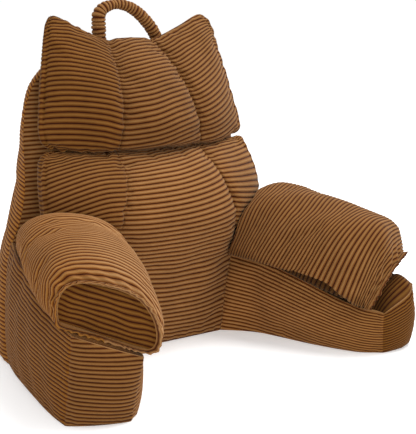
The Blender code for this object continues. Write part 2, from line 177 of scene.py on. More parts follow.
def corduroy(name, tone):
    """The cloth, lighter or darker by its tone, which is painted light and shade."""
    material = bpy.data.materials.new(name)
    material.use_nodes = True
    tree = material.node_tree
    tree.nodes.clear()
    start = Wire(tree, None)

    uv = start.wire("UVMap", {"uv_map": "cloth"})
    split = start.node("SeparateXYZ", Vector=uv)
    along, wale = Wire(tree, split.outputs[0]), Wire(tree, split.outputs[1])
    place = start.wire("TexCoord", out=3)

    def fibres(to_a_metre, to_a_wale, layer, **settings):
        """Noise that is stretched along the weave."""
        spot = start.wire("CombineXYZ", X=along * to_a_metre, Y=wale * to_a_wale, Z=layer)
        return start.wire("TexNoise", Vector=spot, Scale=1.0, **settings)

    # distance from the groove: 0 in it, 1 on top of the wale
    wander = start.wire("TexNoise", Vector=place, Scale=90.0, Detail=2.0)
    height = 1 - 2 * abs(wale % 1 - 0.5) + 0.16 * (wander - 0.5)

    tufts = fibres(900.0, 7.0, 0.0, Detail=3.0, Roughness=0.65)
    streaks = fibres(26.0, 1.0, 3.0, Detail=2.0)
    clouds = start.wire("TexNoise", Vector=place, Scale=11.0, Detail=3.0, Roughness=0.55)
    nap_and_painted_light = 0.47 + 0.42 * tufts + 0.34 * streaks + 0.36 * clouds
    # painted light and shade by panel: lighter, darker or warmer
    painted_light = start.wire("Attribute", {"attribute_name": "nap_and_painted_light"})

    # the sides of the cords and the groove are painted darker, as their shade
    groove_and_shade, flank_shade, ridge = (colour(*(tone * c for c in part)) for part in (GROOVE_AND_SHADE, FLANK_SHADE, RIDGE))
    pile_and_painted_light = height.step(0.30, 0.95).blend(flank_shade, ridge)
    cloth = height.step(0.06, 0.38).blend(groove_and_shade, pile_and_painted_light)
    cloth = cloth.times(start.wire("CombineColor", Red=nap_and_painted_light, Green=nap_and_painted_light, Blue=nap_and_painted_light)).times(painted_light)

    fuzz = fibres(1500.0, 16.0, 7.0, Detail=4.0, Roughness=0.7)
    normal = start.wire("Bump", Height=fuzz + 0.8 * tufts, Strength=0.45, Distance=0.0006)
    shader = start.node("BsdfPrincipled", Base_Color=cloth, Normal=normal,
                        Roughness=0.86 + 0.12 * tufts)
    shader.inputs["Specular IOR Level"].default_value = 0.08
    shader.inputs["Sheen Weight"].default_value = 0.10
    shader.inputs["Sheen Roughness"].default_value = 0.45
    shader.inputs["Sheen Tint"].default_value = colour(1.0, 0.80, 0.60)
    start.node("OutputMaterial", Surface=Wire(tree, shader.outputs[0]))
    return material


CLOTHS = {name: corduroy(name, tone) for name, tone in LIGHT_AND_SHADE_TONES.items()}
print("cloths:", list(CLOTHS))

# %% [markdown]
# ## Reading smooth curves
# The frame's solids were drawn from short tables of sizes. The same tables are
# read here, more finely. Between two rows the curve leaves each one in the
# direction of its neighbours, which gives a smooth line through every row.

# %% Smooth tables
def smooth(table, at):
    """All columns of a table at the given values of its first column."""
    rows = np.array(table, float)
    key = rows[:, 0]
    at = np.clip(np.asarray(at, float), key[0], key[-1])
    i = np.clip(np.searchsorted(key, at, side="right") - 1, 0, len(key) - 2)
    before, after = np.maximum(i - 1, 0), np.minimum(i + 2, len(key) - 1)
    gap = (key[i + 1] - key[i])[..., None]
    f = (at - key[i])[..., None] / gap
    a, b = rows[i], rows[i + 1]
    m0 = (b - rows[before]) / (key[i + 1] - key[before])[..., None] * gap
    m1 = (rows[after] - a) / (key[after] - key[i])[..., None] * gap
    return ((2 * f**3 - 3 * f**2 + 1) * a + (f**3 - 2 * f**2 + f) * m0
            + (3 * f**2 - 2 * f**3) * b + (f**3 - f**2) * m1)


def curve(at, places, values):
    """One smooth line through the given values."""
    return smooth(list(zip(places, values)), at)[..., 1]


def by_row(table, at):
    """A table's columns at fractional row numbers."""
    numbered = [(i, *row) for i, row in enumerate(table)]
    return smooth(numbered, at)[..., 1:]


def bulge(f):
    """Crown of a filled panel from edge to edge."""
    f = np.clip(f, 0.0, 1.0)
    return np.maximum(4 * f * (1 - f), 0) ** 0.7


def ease(x, low, high):
    """0 below low, 1 above high, softly."""
    t = np.clip((x - low) / (high - low), 0, 1)
    return t * t * (3 - 2 * t)


def lengths(points, axis=0):
    """Distance along a line or along each line of a grid, from its start."""
    steps = np.linalg.norm(np.diff(points, axis=axis), axis=-1)
    start = np.zeros_like(np.take(steps, [0], axis=axis))
    return np.concatenate([start, np.cumsum(steps, axis=axis)], axis=axis)


def even_stops(points, count):
    """Fractional numbers of a dense line's points that cut it in equal lengths."""
    run = lengths(points)
    return np.interp(np.linspace(0, run[-1], count), run, np.arange(len(points)))


print("bulge at a quarter:", round(float(bulge(0.25)), 3))

# %% [markdown]
# ## How a panel of cloth is made
# Every piece is cut from panels. A panel is a grid of points with one row for
# each wale, so the grid follows the weave. It is first coarse, for the
# simulation of the filling. Then it is read again through a smooth curve,
# seven rows to a wale, and each row is lifted to its height on the cord.

# %% Panels
WALE_ROWS = ((0.0, 0.0), (0.09, 0.50), (0.22, 0.82), (0.40, 0.98),
             (0.60, 0.98), (0.78, 0.82), (0.91, 0.50))
WALE_HEIGHT = 0.0019


@dataclass
class Panel:
    """A grid of cloth. Seen from outside, rows run upwards and columns to the right."""
    points: np.ndarray                  # coarse grid of points
    rows: np.ndarray = None             # fine rows, as fractional coarse row numbers
    wales: np.ndarray = None            # wale number of each fine row (or of each point)
    hems: str = "lrbt"                  # sewn edges: left, right, bottom, top
    beads: str = ""                     # edges with a stitched double ridge
    ruffles: str = ""                   # edges with a stronger pucker
    split: int = 2                      # fine columns in a coarse one
    undulate: float = 0.0012
    pucker: float = 0.0016
    seed: int = 1
    # painted light and shade: how much lighter, darker and warmer the panel is made
    nap_and_painted_light: tuple = (1.0, 0.1)             # how light and how warm it looks; or several, left to right
    corner: int = 0                     # coarse row at which the seams turn a corner
    fixed: np.ndarray = None            # how firmly each coarse point is held, 0 to 1
    fine: dict = field(default_factory=dict)


def wale_rows(first, last, margin=0.02):
    """Wale numbers of the fine rows from one wale number to another, ends included."""
    marks = [j + t for j in range(int(first) - 1, int(last) + 2) for t, _ in WALE_ROWS]
    marks = [m for m in marks if first + 0.02 < m < last - margin]
    return np.array([first, *marks, last])


def cord_height(wale):
    """Height on the cord, from 0 in the groove to 1, at a wale number."""
    t = np.array([t for t, _ in WALE_ROWS] + [1.0])
    h = np.array([h for _, h in WALE_ROWS] + [0.0])
    return np.interp(wale - np.floor(wale), t, h)


print("rows to a wale:", len(WALE_ROWS))

# %% [markdown]
# ### Reading a panel between its rows
# A panel's points are read at fractional row numbers, on a smooth curve that
# may turn one sharp corner. Where wales don't follow the rows, each column is
# read at its own row numbers, found by looking up where every wale crosses it.

# %% Fine rows
DRIFT_MARKS = wale_rows(-12, 66)        # more wales than any cushion has, for those that climb in


def spline_read(points, at):
    """Reads the first axis of points on a smooth curve. at has one line of row
    numbers for all columns, or one for each."""
    n = len(points)
    ends = [2 * points[:1] - points[1:2], points, 2 * points[-1:] - points[-2:-1]]
    p = np.concatenate(ends, axis=0)
    at = np.clip(np.asarray(at, float), 0, n - 1)
    i = np.minimum(at.astype(int), n - 2)
    f = (at - i)
    weights = ((-f + 2 * f**2 - f**3) / 2, (2 - 5 * f**2 + 3 * f**3) / 2,
               (f + 4 * f**2 - 3 * f**3) / 2, (-(f**2) + f**3) / 2)
    if at.ndim == 1:
        return sum(w[:, None, None] * p[i + k] for k, w in enumerate(weights))
    columns = np.arange(p.shape[1])[None, :]
    return sum(w[..., None] * p[i + k, columns] for k, w in enumerate(weights))


def read_rows(points, at, corner=0):
    """The same, but the curve may turn sharply at one row."""
    if not corner:
        return spline_read(points, at)
    low, high = at[at <= corner], at[at > corner] - corner
    return np.concatenate([spline_read(points[:corner + 1], low), spline_read(points[corner:], high)])


def lay_wales(panel, places, drift, first=0):
    """Lets the wales of a panel climb by drift(place, row), counted in wales, as they
    cross it. They end in its lower and upper seams. first is its lowest row's number."""
    n = len(panel.points) - 1
    columns = np.linspace(0, len(places) - 1, (len(places) - 1) * panel.split + 1)
    at = np.interp(columns, np.arange(len(places)), places)
    dense = np.linspace(first, first + n, 40 * n + 1)
    rows, wales = [], []
    for place in at:
        climb = drift(place, dense)
        rows.append(np.interp(DRIFT_MARKS, dense - climb, dense))
        wales.append(rows[-1] - np.interp(rows[-1], dense, climb))
    panel.rows, panel.wales = np.stack(rows, axis=1) - first, np.stack(wales, axis=1)


print("wales looked up:", int(DRIFT_MARKS[-1] - DRIFT_MARKS[0]))

# %% [markdown]
# ### Uneven waves
# Cloth is never regular. A few sine waves with random lengths and starts give
# an uneven line or surface, and the same seed always gives the same one.

# %% Outward direction and waves
def outward(grid):
    """Unit normals of a grid, pointing to the side it is seen from."""
    n = np.cross(np.gradient(grid, axis=1), np.gradient(grid, axis=0))
    return n / np.maximum(np.linalg.norm(n, axis=-1, keepdims=True), 1e-12)


def wobble(x, wave, seed):
    """A smooth uneven wave along a line, about -1 to 1."""
    pick = np.random.default_rng(seed)
    total = 0.0
    for _ in range(5):
        size = wave * pick.uniform(0.6, 1.7)
        total = total + np.sin(2 * np.pi * (x / size) + pick.uniform(0, 6.28))
    return total / 2.4


def ripple(x, y, wave, seed):
    """A smooth uneven surface, about -1 to 1."""
    pick = np.random.default_rng(seed)
    total = 0.0
    for _ in range(7):
        turn, size = pick.uniform(0, 6.28), wave * pick.uniform(0.6, 1.8)
        run = x * math.cos(turn) + y * math.sin(turn)
        total = total + np.sin(2 * np.pi * run / size + pick.uniform(0, 6.28))
    return total / 2.8


print("one wave:", [round(float(wobble(x, 1.0, 1)), 2) for x in (0, 0.25, 0.5, 0.75)])

# %% [markdown]
# ## Filling the cloth
# A cushion gets its shape from its filling. Blender's Cloth modifier can do
# that: pressure pushes the panels out, while the seams are held by a vertex
# group. The coarse panels are sewn into one mesh, the simulation runs for
# twenty frames, and what it moved is read back into the panels. How far a
# point may travel is capped, so the piece keeps its size.

# %% Simulation
def sew_coarse(panels):
    """One list of points and faces for several coarse panels, joined where they touch."""
    points = np.concatenate([p.points.reshape(-1, 3) for p in panels])
    keys = np.round(points / 2e-4).astype(np.int64)
    _, first, index = np.unique(keys, axis=0, return_index=True, return_inverse=True)
    index = index.ravel()
    faces, start = [], 0
    for p in panels:
        rows, cols = p.points.shape[:2]
        grid = index[start:start + rows * cols].reshape(rows, cols)
        for a, b in zip(grid, grid[1:]):
            for i in range(cols - 1):
                face = list(dict.fromkeys((int(a[i]), int(a[i + 1]), int(b[i + 1]), int(b[i]))))
                if len(face) > 2:
                    faces.append(face)
        start += rows * cols
    return points[first], index, faces


def held(panel):
    """How firmly each coarse point is held: seams fully, the rest as the panel says."""
    firm = np.zeros(panel.points.shape[:2]) if panel.fixed is None else panel.fixed.copy()
    firm[0] = firm[-1] = 1.0
    firm[:, 0] = firm[:, -1] = 1.0
    return firm


FRAMES = 20


def fill(name, panels, pressure, cap, slack):
    """Puffs the coarse panels out with a cloth simulation. cap is how far a point may
    go, and slack how much longer the cloth grows."""
    points, index, faces = sew_coarse(panels)
    firm = np.zeros(len(points))
    np.maximum.at(firm, index, np.concatenate([held(p).ravel() for p in panels]))
    mesh = bpy.data.meshes.new(name + "_filling")
    mesh.from_pydata(points.tolist(), [], faces)
    shell = bpy.data.objects.new(name + "_filling", mesh)
    scene.collection.objects.link(shell)
    seams = shell.vertex_groups.new(name="held")
    for i, weight in enumerate(firm):
        if weight > 0:
            seams.add([i], float(weight), "REPLACE")
    cloth = shell.modifiers.new("cloth", "CLOTH")
    cloth.settings.quality = 5
    cloth.settings.mass = 0.2
    cloth.settings.tension_stiffness = cloth.settings.compression_stiffness = 18
    cloth.settings.shear_stiffness = 8
    cloth.settings.bending_stiffness = 0.8
    cloth.settings.use_pressure = True
    cloth.settings.uniform_pressure_force = pressure
    cloth.settings.vertex_group_mass = "held"
    cloth.settings.shrink_min = -slack
    cloth.settings.effector_weights.gravity = 0
    cloth.point_cache.frame_end = FRAMES
    for frame_number in range(1, FRAMES + 1):
        scene.frame_set(frame_number)
    result = shell.evaluated_get(bpy.context.evaluated_depsgraph_get()).data
    moved = np.zeros(len(points) * 3)
    result.vertices.foreach_get("co", moved)
    bpy.data.objects.remove(shell, do_unlink=True)
    scene.frame_set(1)
    shift = moved.reshape(-1, 3) - points
    size = np.linalg.norm(shift, axis=1, keepdims=True)
    shift *= cap * np.tanh(size / cap) / np.maximum(size, 1e-9)
    shift *= (1 - firm)[:, None]
    start = 0
    for p in panels:
        count = p.points.shape[0] * p.points.shape[1]
        p.points = p.points + shift[index[start:start + count]].reshape(p.points.shape)
        start += count
    print(f"{name}: {len(points)} points filled, {size.max() * 1000:.1f} mm at most before the cap")


# %% [markdown]
# ## From a coarse panel to finished cloth
# The wales, the pucker of the cloth along a seam, and the stitched double
# ridge at a cushion's edge are small, so they are added after the simulation,
# along the outward direction. Each effect is measured from the panel's edges.

# %% Wales, puckers and beads
HEM_WIDTH, SOFT_WIDTH = 0.0045, 0.03      # beside a seam: where wales start, and where waves do
PUCKER_WAVE, PUCKER_REACH, RUFFLE = 0.020, 0.013, 3.2
BEAD_RIDGES, BEAD_HEIGHT, BEAD_WIDTH = (0.0022, 0.0064), 0.0030, 0.0013
BEAD_GROOVE, BEAD_DEPTH, GROOVE_WIDTH = 0.0092, 0.0036, 0.0016


def mound(x, place, width):
    return np.exp(-((x - place) / width) ** 2)


def weave(panel):
    """Works out a panel's fine grid with its wales, and its U and V."""
    spans = panel.points.shape[1] - 1
    at_columns = np.linspace(0, spans, spans * panel.split + 1)
    wide = spline_read(panel.points.swapaxes(0, 1), at_columns).swapaxes(0, 1)
    base = read_rows(wide, panel.rows, panel.corner)
    wales = panel.wales
    if wales.ndim == 1:
        wales = np.repeat(wales[:, None], base.shape[1], axis=1)
    across, up = lengths(base, axis=1), lengths(base, axis=0)
    edge = {"l": across, "r": across[:, -1:] - across, "b": up, "t": up[-1:] - up}
    run = {"l": up, "r": up, "b": across, "t": across}
    hem, soft, inside = np.ones((3, *base.shape[:2]))
    for side in panel.hems:
        hem *= ease(edge[side], 0.0, HEM_WIDTH)
        soft *= ease(edge[side], 0.0, SOFT_WIDTH)
    for side in panel.beads:
        hem *= ease(edge[side], 0.0065, 0.0095)
    lift = (cord_height(wales) - 0.55) * WALE_HEIGHT * hem
    lift += panel.undulate * soft * ripple(across, up, 0.11, panel.seed)
    for k, side in enumerate(panel.hems):
        wave = wobble(run[side], PUCKER_WAVE, panel.seed * 7 + k)
        pucker = panel.pucker * (RUFFLE if side in panel.ruffles else 1)
        near = ease(edge[side], 0.0, 0.004) * np.exp(-edge[side] / PUCKER_REACH)
        lift -= pucker * near * (wave + 0.25)
    for side in panel.beads:
        for ridge in BEAD_RIDGES:
            lift += BEAD_HEIGHT * mound(edge[side], ridge, BEAD_WIDTH)
        lift -= BEAD_DEPTH * mound(edge[side], BEAD_GROOVE, GROOVE_WIDTH)
    inside[[0, -1]] = inside[:, [0, -1]] = 0
    points = base + outward(base) * (lift * inside)[..., None]
    panel.fine = {"points": points, "u": across, "v": wales}


def mirrored(panel):
    """The same panel on the other side of the pillow."""
    swap = str.maketrans("lr", "rl")
    flip = lambda x: x if x is None or x.ndim == 1 else x[:, ::-1]
    return replace(
        panel, points=flip(panel.points) * (-1, 1, 1), rows=flip(panel.rows), wales=flip(panel.wales),
        hems=panel.hems.translate(swap), beads=panel.beads.translate(swap), fixed=flip(panel.fixed),
        nap_and_painted_light=np.reshape(panel.nap_and_painted_light, (-1, 2))[::-1], seed=panel.seed + 50, fine={})


print("wale height", WALE_HEIGHT * 1000, "mm")

# %% [markdown]
# ## One mesh for each piece
# A finished piece is one closed mesh. Its grids and strips are poured into
# one bmesh: a grid is a square net, and a strip joins two closed lines whose
# points don't match. Hidden sides are closed with one flat face.

# %% Grids, strips and flat sides
MERGE, NEAR_FACE = 2e-5, 3e-5     # points closer than this are one, or lie on the leaning face
# the painted light and shade tint of a plain panel: neither lighter nor darker, a little warm
PLAIN_TINT = (1.0, 0.1)
FLAT_PITCH = 0.0078         # one wale on the flat hidden sides


def new_cloth():
    """An empty bmesh with the two layers that every piece's cloth needs."""
    bm = bmesh.new()
    bm.loops.layers.float_color.new("nap_and_painted_light")
    bm.loops.layers.uv.new("cloth")
    return bm


def painted_light_tint(light, warm):
    """A factor of painted light and shade for the cloth's colour: warmer is a little less green and
    less blue.
    """
    return (light, light * (1 - 0.27 * warm), light * (1 - warm), 1.0)


def add_grid(bm, points, u, v, nap_and_painted_light=PLAIN_TINT):
    """Faces of a grid of points, with their UVs and their painted light and shade."""
    rows, cols = points.shape[:2]
    uv, pile_and_painted_light = bm.loops.layers.uv["cloth"], bm.loops.layers.float_color["nap_and_painted_light"]
    light_and_warmth = np.reshape(nap_and_painted_light, (-1, 2))
    place = np.linspace(0, len(light_and_warmth) - 1, cols)
    light, warm = (np.interp(place, np.arange(len(light_and_warmth)), n) for n in light_and_warmth.T)
    tints = [painted_light_tint(*pair) for pair in zip(light, warm)]
    verts = [[bm.verts.new(p) for p in line] for line in points]
    for j in range(rows - 1):
        for i in range(cols - 1):
            corners = ((j, i), (j, i + 1), (j + 1, i + 1), (j + 1, i))
            face = bm.faces.new([verts[a][b] for a, b in corners])
            for loop, (a, b) in zip(face.loops, corners):
                loop[uv].uv = (u[a, b], v[a, b])
                loop[pile_and_painted_light] = tints[b]


def add_panel(bm, panel):
    add_grid(bm, panel.fine["points"], panel.fine["u"], panel.fine["v"], panel.nap_and_painted_light)


def add_strip(bm, first, second, u, v, corners=((0,), (0,))):
    """Triangles between two closed lines of points with different counts. Points are
    paired by their share of the way between corners, given by their numbers."""
    uv, lines = bm.loops.layers.uv["cloth"], []
    for points, turns in zip((first, second), corners):
        points = np.asarray(points)
        run = lengths(np.concatenate([points, points[:1]]))
        share = np.interp(run, [*run[list(turns)], run[-1]], np.linspace(0, 1, len(turns) + 1))
        lines.append(([bm.verts.new(p) for p in points], share))
    (a, ta), (b, tb) = lines
    i = j = 0
    while i < len(a) or j < len(b):
        if j >= len(b) or (i < len(a) and ta[i + 1] <= tb[j + 1]):
            corners = [(a[i], ta[i], 0), (a[(i + 1) % len(a)], ta[i + 1], 0), (b[j % len(b)], tb[j], 1)]
            i += 1
        else:
            corners = [(b[j], tb[j], 1), (a[i % len(a)], ta[i], 0), (b[(j + 1) % len(b)], tb[j + 1], 1)]
            j += 1
        face = bm.faces.new([c[0] for c in corners])
        for loop, (_, t, side) in zip(face.loops, corners):
            loop[uv].uv = (t * u, v[side])


def fill_flat(bm, test):
    """Closes each loop of open edges whose ends both pass the test with one flat face."""
    uv = bm.loops.layers.uv["cloth"]
    edges = [e for e in bm.edges if len(e.link_faces) < 2 and all(test(x.co) for x in e.verts)]
    for face in bmesh.ops.edgeloop_fill(bm, edges=edges)["faces"]:
        for loop in face.loops:
            p = loop.vert.co
            loop[uv].uv = (p.x, (p.y if abs(face.normal.z) > 0.7 else p.z) / FLAT_PITCH)


print("points merge below", MERGE * 1000, "mm")

# %% [markdown]
# ### Finishing
# Points that meet are merged and the faces are turned to point outwards.

# %% Finishing a piece
DEPTH_SHIFT = 0.147         # the frame's middle lies this far behind the tables' own


def finish_piece(bm, name, slot, node, cloth=None, settle=None):
    """Closes up the mesh, moves it to the frame's place and fastens it. settle may
    move the points of the finished cloth."""
    bmesh.ops.remove_doubles(bm, verts=bm.verts, dist=MERGE)
    if settle:
        for vert, place in zip(bm.verts, settle(np.array([v.co for v in bm.verts]))):
            vert.co = place
    bmesh.ops.dissolve_degenerate(bm, edges=bm.edges, dist=2e-6)
    bmesh.ops.recalc_face_normals(bm, faces=bm.faces)
    for vert in bm.verts:            # nothing goes through the floor
        vert.co.z = max(vert.co.z, 0)
    bmesh.ops.translate(bm, verts=bm.verts, vec=(0, DEPTH_SHIFT, 0))
    open_edges = sum(len(e.link_faces) != 2 for e in bm.edges)
    # loops without painted light and shade get the plain tint
    pile_and_painted_light = bm.loops.layers.float_color["nap_and_painted_light"]
    for face in bm.faces:
        for loop in face.loops:
            if not loop[pile_and_painted_light][3]:
                loop[pile_and_painted_light] = painted_light_tint(*PLAIN_TINT)
    mesh = bpy.data.meshes.new(name)
    bm.to_mesh(mesh)
    bm.free()
    mesh.shade_smooth()
    mesh.materials.append(CLOTHS[cloth or slot])
    piece = bpy.data.objects.new(name, mesh)
    scene.collection.objects.link(piece)
    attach(piece, "root")
    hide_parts(node)
    mesh.calc_loop_triangles()
    print(f"{name}: {len(mesh.loop_triangles)} triangles, {open_edges} open edges")


print("pieces move back by", DEPTH_SHIFT, "m")

# %% [markdown]
# ## Where the faces are
# The wedge's front face leans back, and the arms leave it at an angle. These
# few functions place a point on the leaning face, or on an arm by its
# distance along the arm and outwards.

# %% The pillow's own coordinates
GAP = 0.0003                                    # kept between two solids that touch
FACE_Y, FACE_LEAN = -0.065, 0.136               # where the face stands on the floor, and its slope
SLOT_HALF, SLOT_FLARE = 0.134, 0.09             # half the seat's width between the arms, and its slope
ARM_ROOT, ARM_SPLAY = (0.133, -0.107), math.radians(20.3)
ARM_TOP, ARM_FALL, ARM_TILT = 0.1504, 0.15, 0.38    # height at the root, slopes forward and outwards
SIN, COS = math.sin(ARM_SPLAY), math.cos(ARM_SPLAY)


def face_y(z):
    return FACE_Y + FACE_LEAN * z


def on_face(x, z, depth=GAP):
    """A point at a depth in front of the wedge's leaning face."""
    x, z, depth = np.broadcast_arrays(x, z, depth)
    return np.stack([x, face_y(z) - depth, z], axis=-1)


def arm_point(along, out, z):
    along, out, z = np.broadcast_arrays(along, out, z)
    x, y = ARM_ROOT[0] + along * SIN + out * COS, ARM_ROOT[1] - along * COS + out * SIN
    return np.stack([x, y, z], axis=-1)


def on_arm(x, y):
    """The way back: a point's distance along the arm and outwards."""
    dx, dy = x - ARM_ROOT[0], y - ARM_ROOT[1]
    return dx * SIN - dy * COS, dx * COS + dy * SIN


def arm_top(along, out):
    return ARM_TOP - ARM_FALL * along + ARM_TILT * out


print("arm top at its root:", round(float(arm_top(0, 0)), 4))

# %% [markdown]
# ## Patches between seams
# Each wall of the body is a patch stretched between four seam lines. A Coons
# patch blends the two pairs of opposite seams, and a crown pushes its middle
# out as the filling does.

# %% Coons patches
def between(a, b, t):
    t = np.asarray(t)[:, None]
    return np.asarray(a) * (1 - t) + np.asarray(b) * t


def bowed(a, b, t, bow):
    """Points between two others, on a line that bows out in its middle."""
    return between(a, b, t) + np.outer(bulge(t), bow)


def patch(low, high, left, right, u, v, crown=0.0):
    """Grid between four seams: low and high run to the right, left and right run up.
    u and v are the shares at which they are read."""
    su, sv = u[None, :, None], v[:, None, None]
    grid = ((1 - sv) * low[None] + sv * high[None] + (1 - su) * left[:, None] + su * right[:, None]
            - (1 - su) * (1 - sv) * low[0] - su * (1 - sv) * low[-1]
            - (1 - su) * sv * high[0] - su * sv * high[-1])
    height = crown * bulge(su[..., 0]) * bulge(sv[..., 0])
    return grid + outward(grid) * height[..., None]


def edge_spaced(width, step=0.010, near=(0.003, 0.0075, 0.014)):
    """Shares from 0 to 1 across a width, closer together at both ends."""
    inner = np.arange(near[-1] + step, width / 2, step)
    half = [0.0, *near, *inner]
    half = [x for x in half if x < width / 2 - step * 0.3] + [width / 2]
    return np.array(half + [width - x for x in half[-2::-1]]) / width


def along_line(line, shares):
    """Points at the given shares of the length of a dense line."""
    run = lengths(line)
    return np.stack([np.interp(shares * run[-1], run, line[:, k]) for k in range(3)], axis=-1)


print("columns over 150 mm:", len(edge_spaced(0.15)))

# %% [markdown]
# ## The body
# The wedge and both arms are one filled shell. Its side band runs up the
# wedge and over its top, a back panel joins the two bands, and each arm has an
# outer, a front and an inner wall. The cloth is cut so that its wales lie
# level: every wall has its rows at the same heights, and where a wall's top
# slopes, the rows end in the seam.

# %% Body sizes
BODY_PITCH = 0.0072      # one wale
BAND = (                 # front seam x and z, back seam x and z
    (0.269, 0.212, 0.190, 0.220), (0.250, 0.248, 0.184, 0.262), (0.237, 0.292, 0.177, 0.304),
    (0.232, 0.340, 0.170, 0.345), (0.229, 0.390, 0.157, 0.392), (0.221, 0.435, 0.145, 0.436),
    (0.204, 0.472, 0.135, 0.472), (0.176, 0.502, 0.116, 0.501), (0.141, 0.522, 0.094, 0.520),
    (0.095, 0.533, 0.063, 0.530), (0.048, 0.538, 0.032, 0.535), (0.000, 0.539, 0.000, 0.536),
)
OUTER_FLOOR = (          # an arm's edges: along, outwards
    (0.0023, 0.168), (0.060, 0.166), (0.117, 0.161), (0.224, 0.149), (0.290, 0.139), (0.331, 0.129))
OUTER_TOP = ((-0.0184, 0.1555), (0.060, 0.156), (0.117, 0.153),
             (0.224, 0.142), (0.290, 0.132), (0.352, 0.120))
INNER_FLOOR = ((0.000, 0.001), (0.030, 0.014), (0.069, 0.024), (0.110, 0.021),
               (0.199, 0.0095), (0.290, 0.010), (0.340, 0.030))
INNER_TOP = ((0.010, 0.0133), (0.035, 0.016), (0.069, 0.018), (0.110, 0.015),
             (0.199, 0.010), (0.290, 0.009), (0.352, 0.012))
SHARES = np.linspace(0, 1, 26)          # coarse rows of an arm wall


def top_meets_face(x_of_height):
    """The point where the arm top meets the wedge's face."""
    z = 0.18
    for _ in range(20):
        z = arm_top(*on_arm(x_of_height(z), face_y(z)))
    return np.array([x_of_height(z), face_y(z), z])


def arm_line(table, shares, on_top=False):
    """An arm's edge, read at shares of its length."""
    dense = by_row(table, np.linspace(0, len(table) - 1, 300))
    z = arm_top(dense[:, 0], dense[:, 1]) if on_top else 0.0
    return along_line(arm_point(dense[:, 0], dense[:, 1], z), shares)


ARM_FOOT = arm_point(*OUTER_FLOOR[0], 0.0)
ARM_HEAD = top_meets_face(lambda z: BAND[0][0])
ROOT = bowed(ARM_FOOT, ARM_HEAD, SHARES, (0.007, 0, 0))
LEVELS = wale_rows(0, ARM_HEAD[2] / BODY_PITCH)
WALL_LEVELS = np.append(LEVELS, LEVELS[-1] + 0.5)     # a wall's top may be a little higher
ARM_PITCH = 0.0064                      # one wale at the arm's front
OUTER_FALL, FRONT_FALL = 0.026, 0.036   # how far a wale has fallen at the front's two corners
RIGHT_FALL = -0.004                     # the same at the right arm's outer corner
print("wales from the floor to the arm's head:", round(LEVELS[-1], 1))

# %% [markdown]
# ### The arms' walls
# An arm is walled by three panels. On the pillow the cloth has slipped as it
# was filled: the wales fall a little towards the arm's front and lie closer
# there. So a wall's rows aren't one wale apart by number but by height, with
# the fall and the pitch given at its two edges. The right arm's front corner
# has slipped less than the left one's, so the walls that meet there differ.

# %% Arm walls
def level_panel(low, high, left, right, u, crown, seed, falls, pitches, nap_and_painted_light):
    """An arm wall whose wales fall on their way and end in its sloping seams."""
    points = patch(low, high, left, right, u, SHARES, crown)
    panel = Panel(points, seed=seed, undulate=0.0014, pucker=0.0012, nap_and_painted_light=nap_and_painted_light)
    columns = np.linspace(0, len(low) - 1, (len(low) - 1) * panel.split + 1)
    place = np.interp(columns, np.arange(len(u)), u)
    top = spline_read(high[:, None], columns)[:, 0, 2]
    fall, pitch = (np.interp(place, (0, 1), pair) for pair in (falls, pitches))
    heights = np.clip(WALL_LEVELS[:, None] * pitch - fall, 0, top)
    panel.rows = heights / top * (len(SHARES) - 1)
    panel.wales = (heights + fall) / pitch
    return panel


outer_u, inner_u = edge_spaced(0.34, 0.022), edge_spaced(0.33, 0.022)
front_u = edge_spaced(0.115, 0.014)
outer_low = arm_line(OUTER_FLOOR, 1 - outer_u)
outer_high = arm_line(OUTER_TOP, 1 - outer_u, on_top=True)
outer_low[-1], outer_high[-1] = ROOT[0], ROOT[-1]
front_out = between(outer_low[0], outer_high[0], SHARES)
# Both outer walls are painted darker and warmer, as their shade.
outer_wall, left_outer_wall = (
    level_panel(outer_low, outer_high, front_out, ROOT, outer_u, 0.007, 11,
                (fall, 0), (ARM_PITCH, BODY_PITCH), (0.84, 0.78))
    for fall in (RIGHT_FALL, OUTER_FALL))

inner_low = arm_line(INNER_FLOOR, inner_u)
inner_high = arm_line(INNER_TOP, inner_u, on_top=True)
inner_low[0] = (SLOT_HALF, ARM_ROOT[1], 0)
inner_high[0, 0] = SLOT_HALF + SLOT_FLARE * inner_high[0, 2]
inner_high[0, 2] = arm_top(*on_arm(*inner_high[0, :2]))
front_in = between(inner_low[-1], inner_high[-1], SHARES)
corner = between(inner_low[0], inner_high[0], SHARES)
# The inner wall is painted lighter, as light on it, and less light and warmer towards its front.
inner_wall = level_panel(inner_low, inner_high, corner, front_in, inner_u, 0.012, 12, (0, FRONT_FALL),
                         (BODY_PITCH, ARM_PITCH), ((1.50, 0.10), (1.34, 0.10), (0.96, 0.30)))

ahead = np.array([SIN, -COS, 0])
front_low = bowed(front_in[0], front_out[0], front_u, 0.008 * ahead)
front_high = bowed(front_in[-1], front_out[-1], front_u, 0.006 * ahead)
front_high[:, 2] = arm_top(*on_arm(*front_high[:, :2].T))
# The front walls are painted darker and warmer as their shade, the right one the most.
front_wall, left_front_wall = (
    level_panel(front_low, front_high, front_in, front_out, front_u, 0.010, 13,
                (FRONT_FALL, fall), (ARM_PITCH, ARM_PITCH), nap_and_painted_light)
    for fall, nap_and_painted_light in ((RIGHT_FALL, (0.62, 0.70)), (OUTER_FALL, (0.80, 0.26))))
print("arm wall grids:", [p.points.shape[:2] for p in (outer_wall, front_wall, inner_wall)])

# %% [markdown]
# ### The side band and the back
# The band is one long strip, from the floor up the wedge's side and over its
# top. Its wales keep their level up the side and then run on over the top at
# the same pitch. The back is a plain panel, a little hollow, whose wales meet
# the band's at the seam. Half of each is drawn and mirrored.

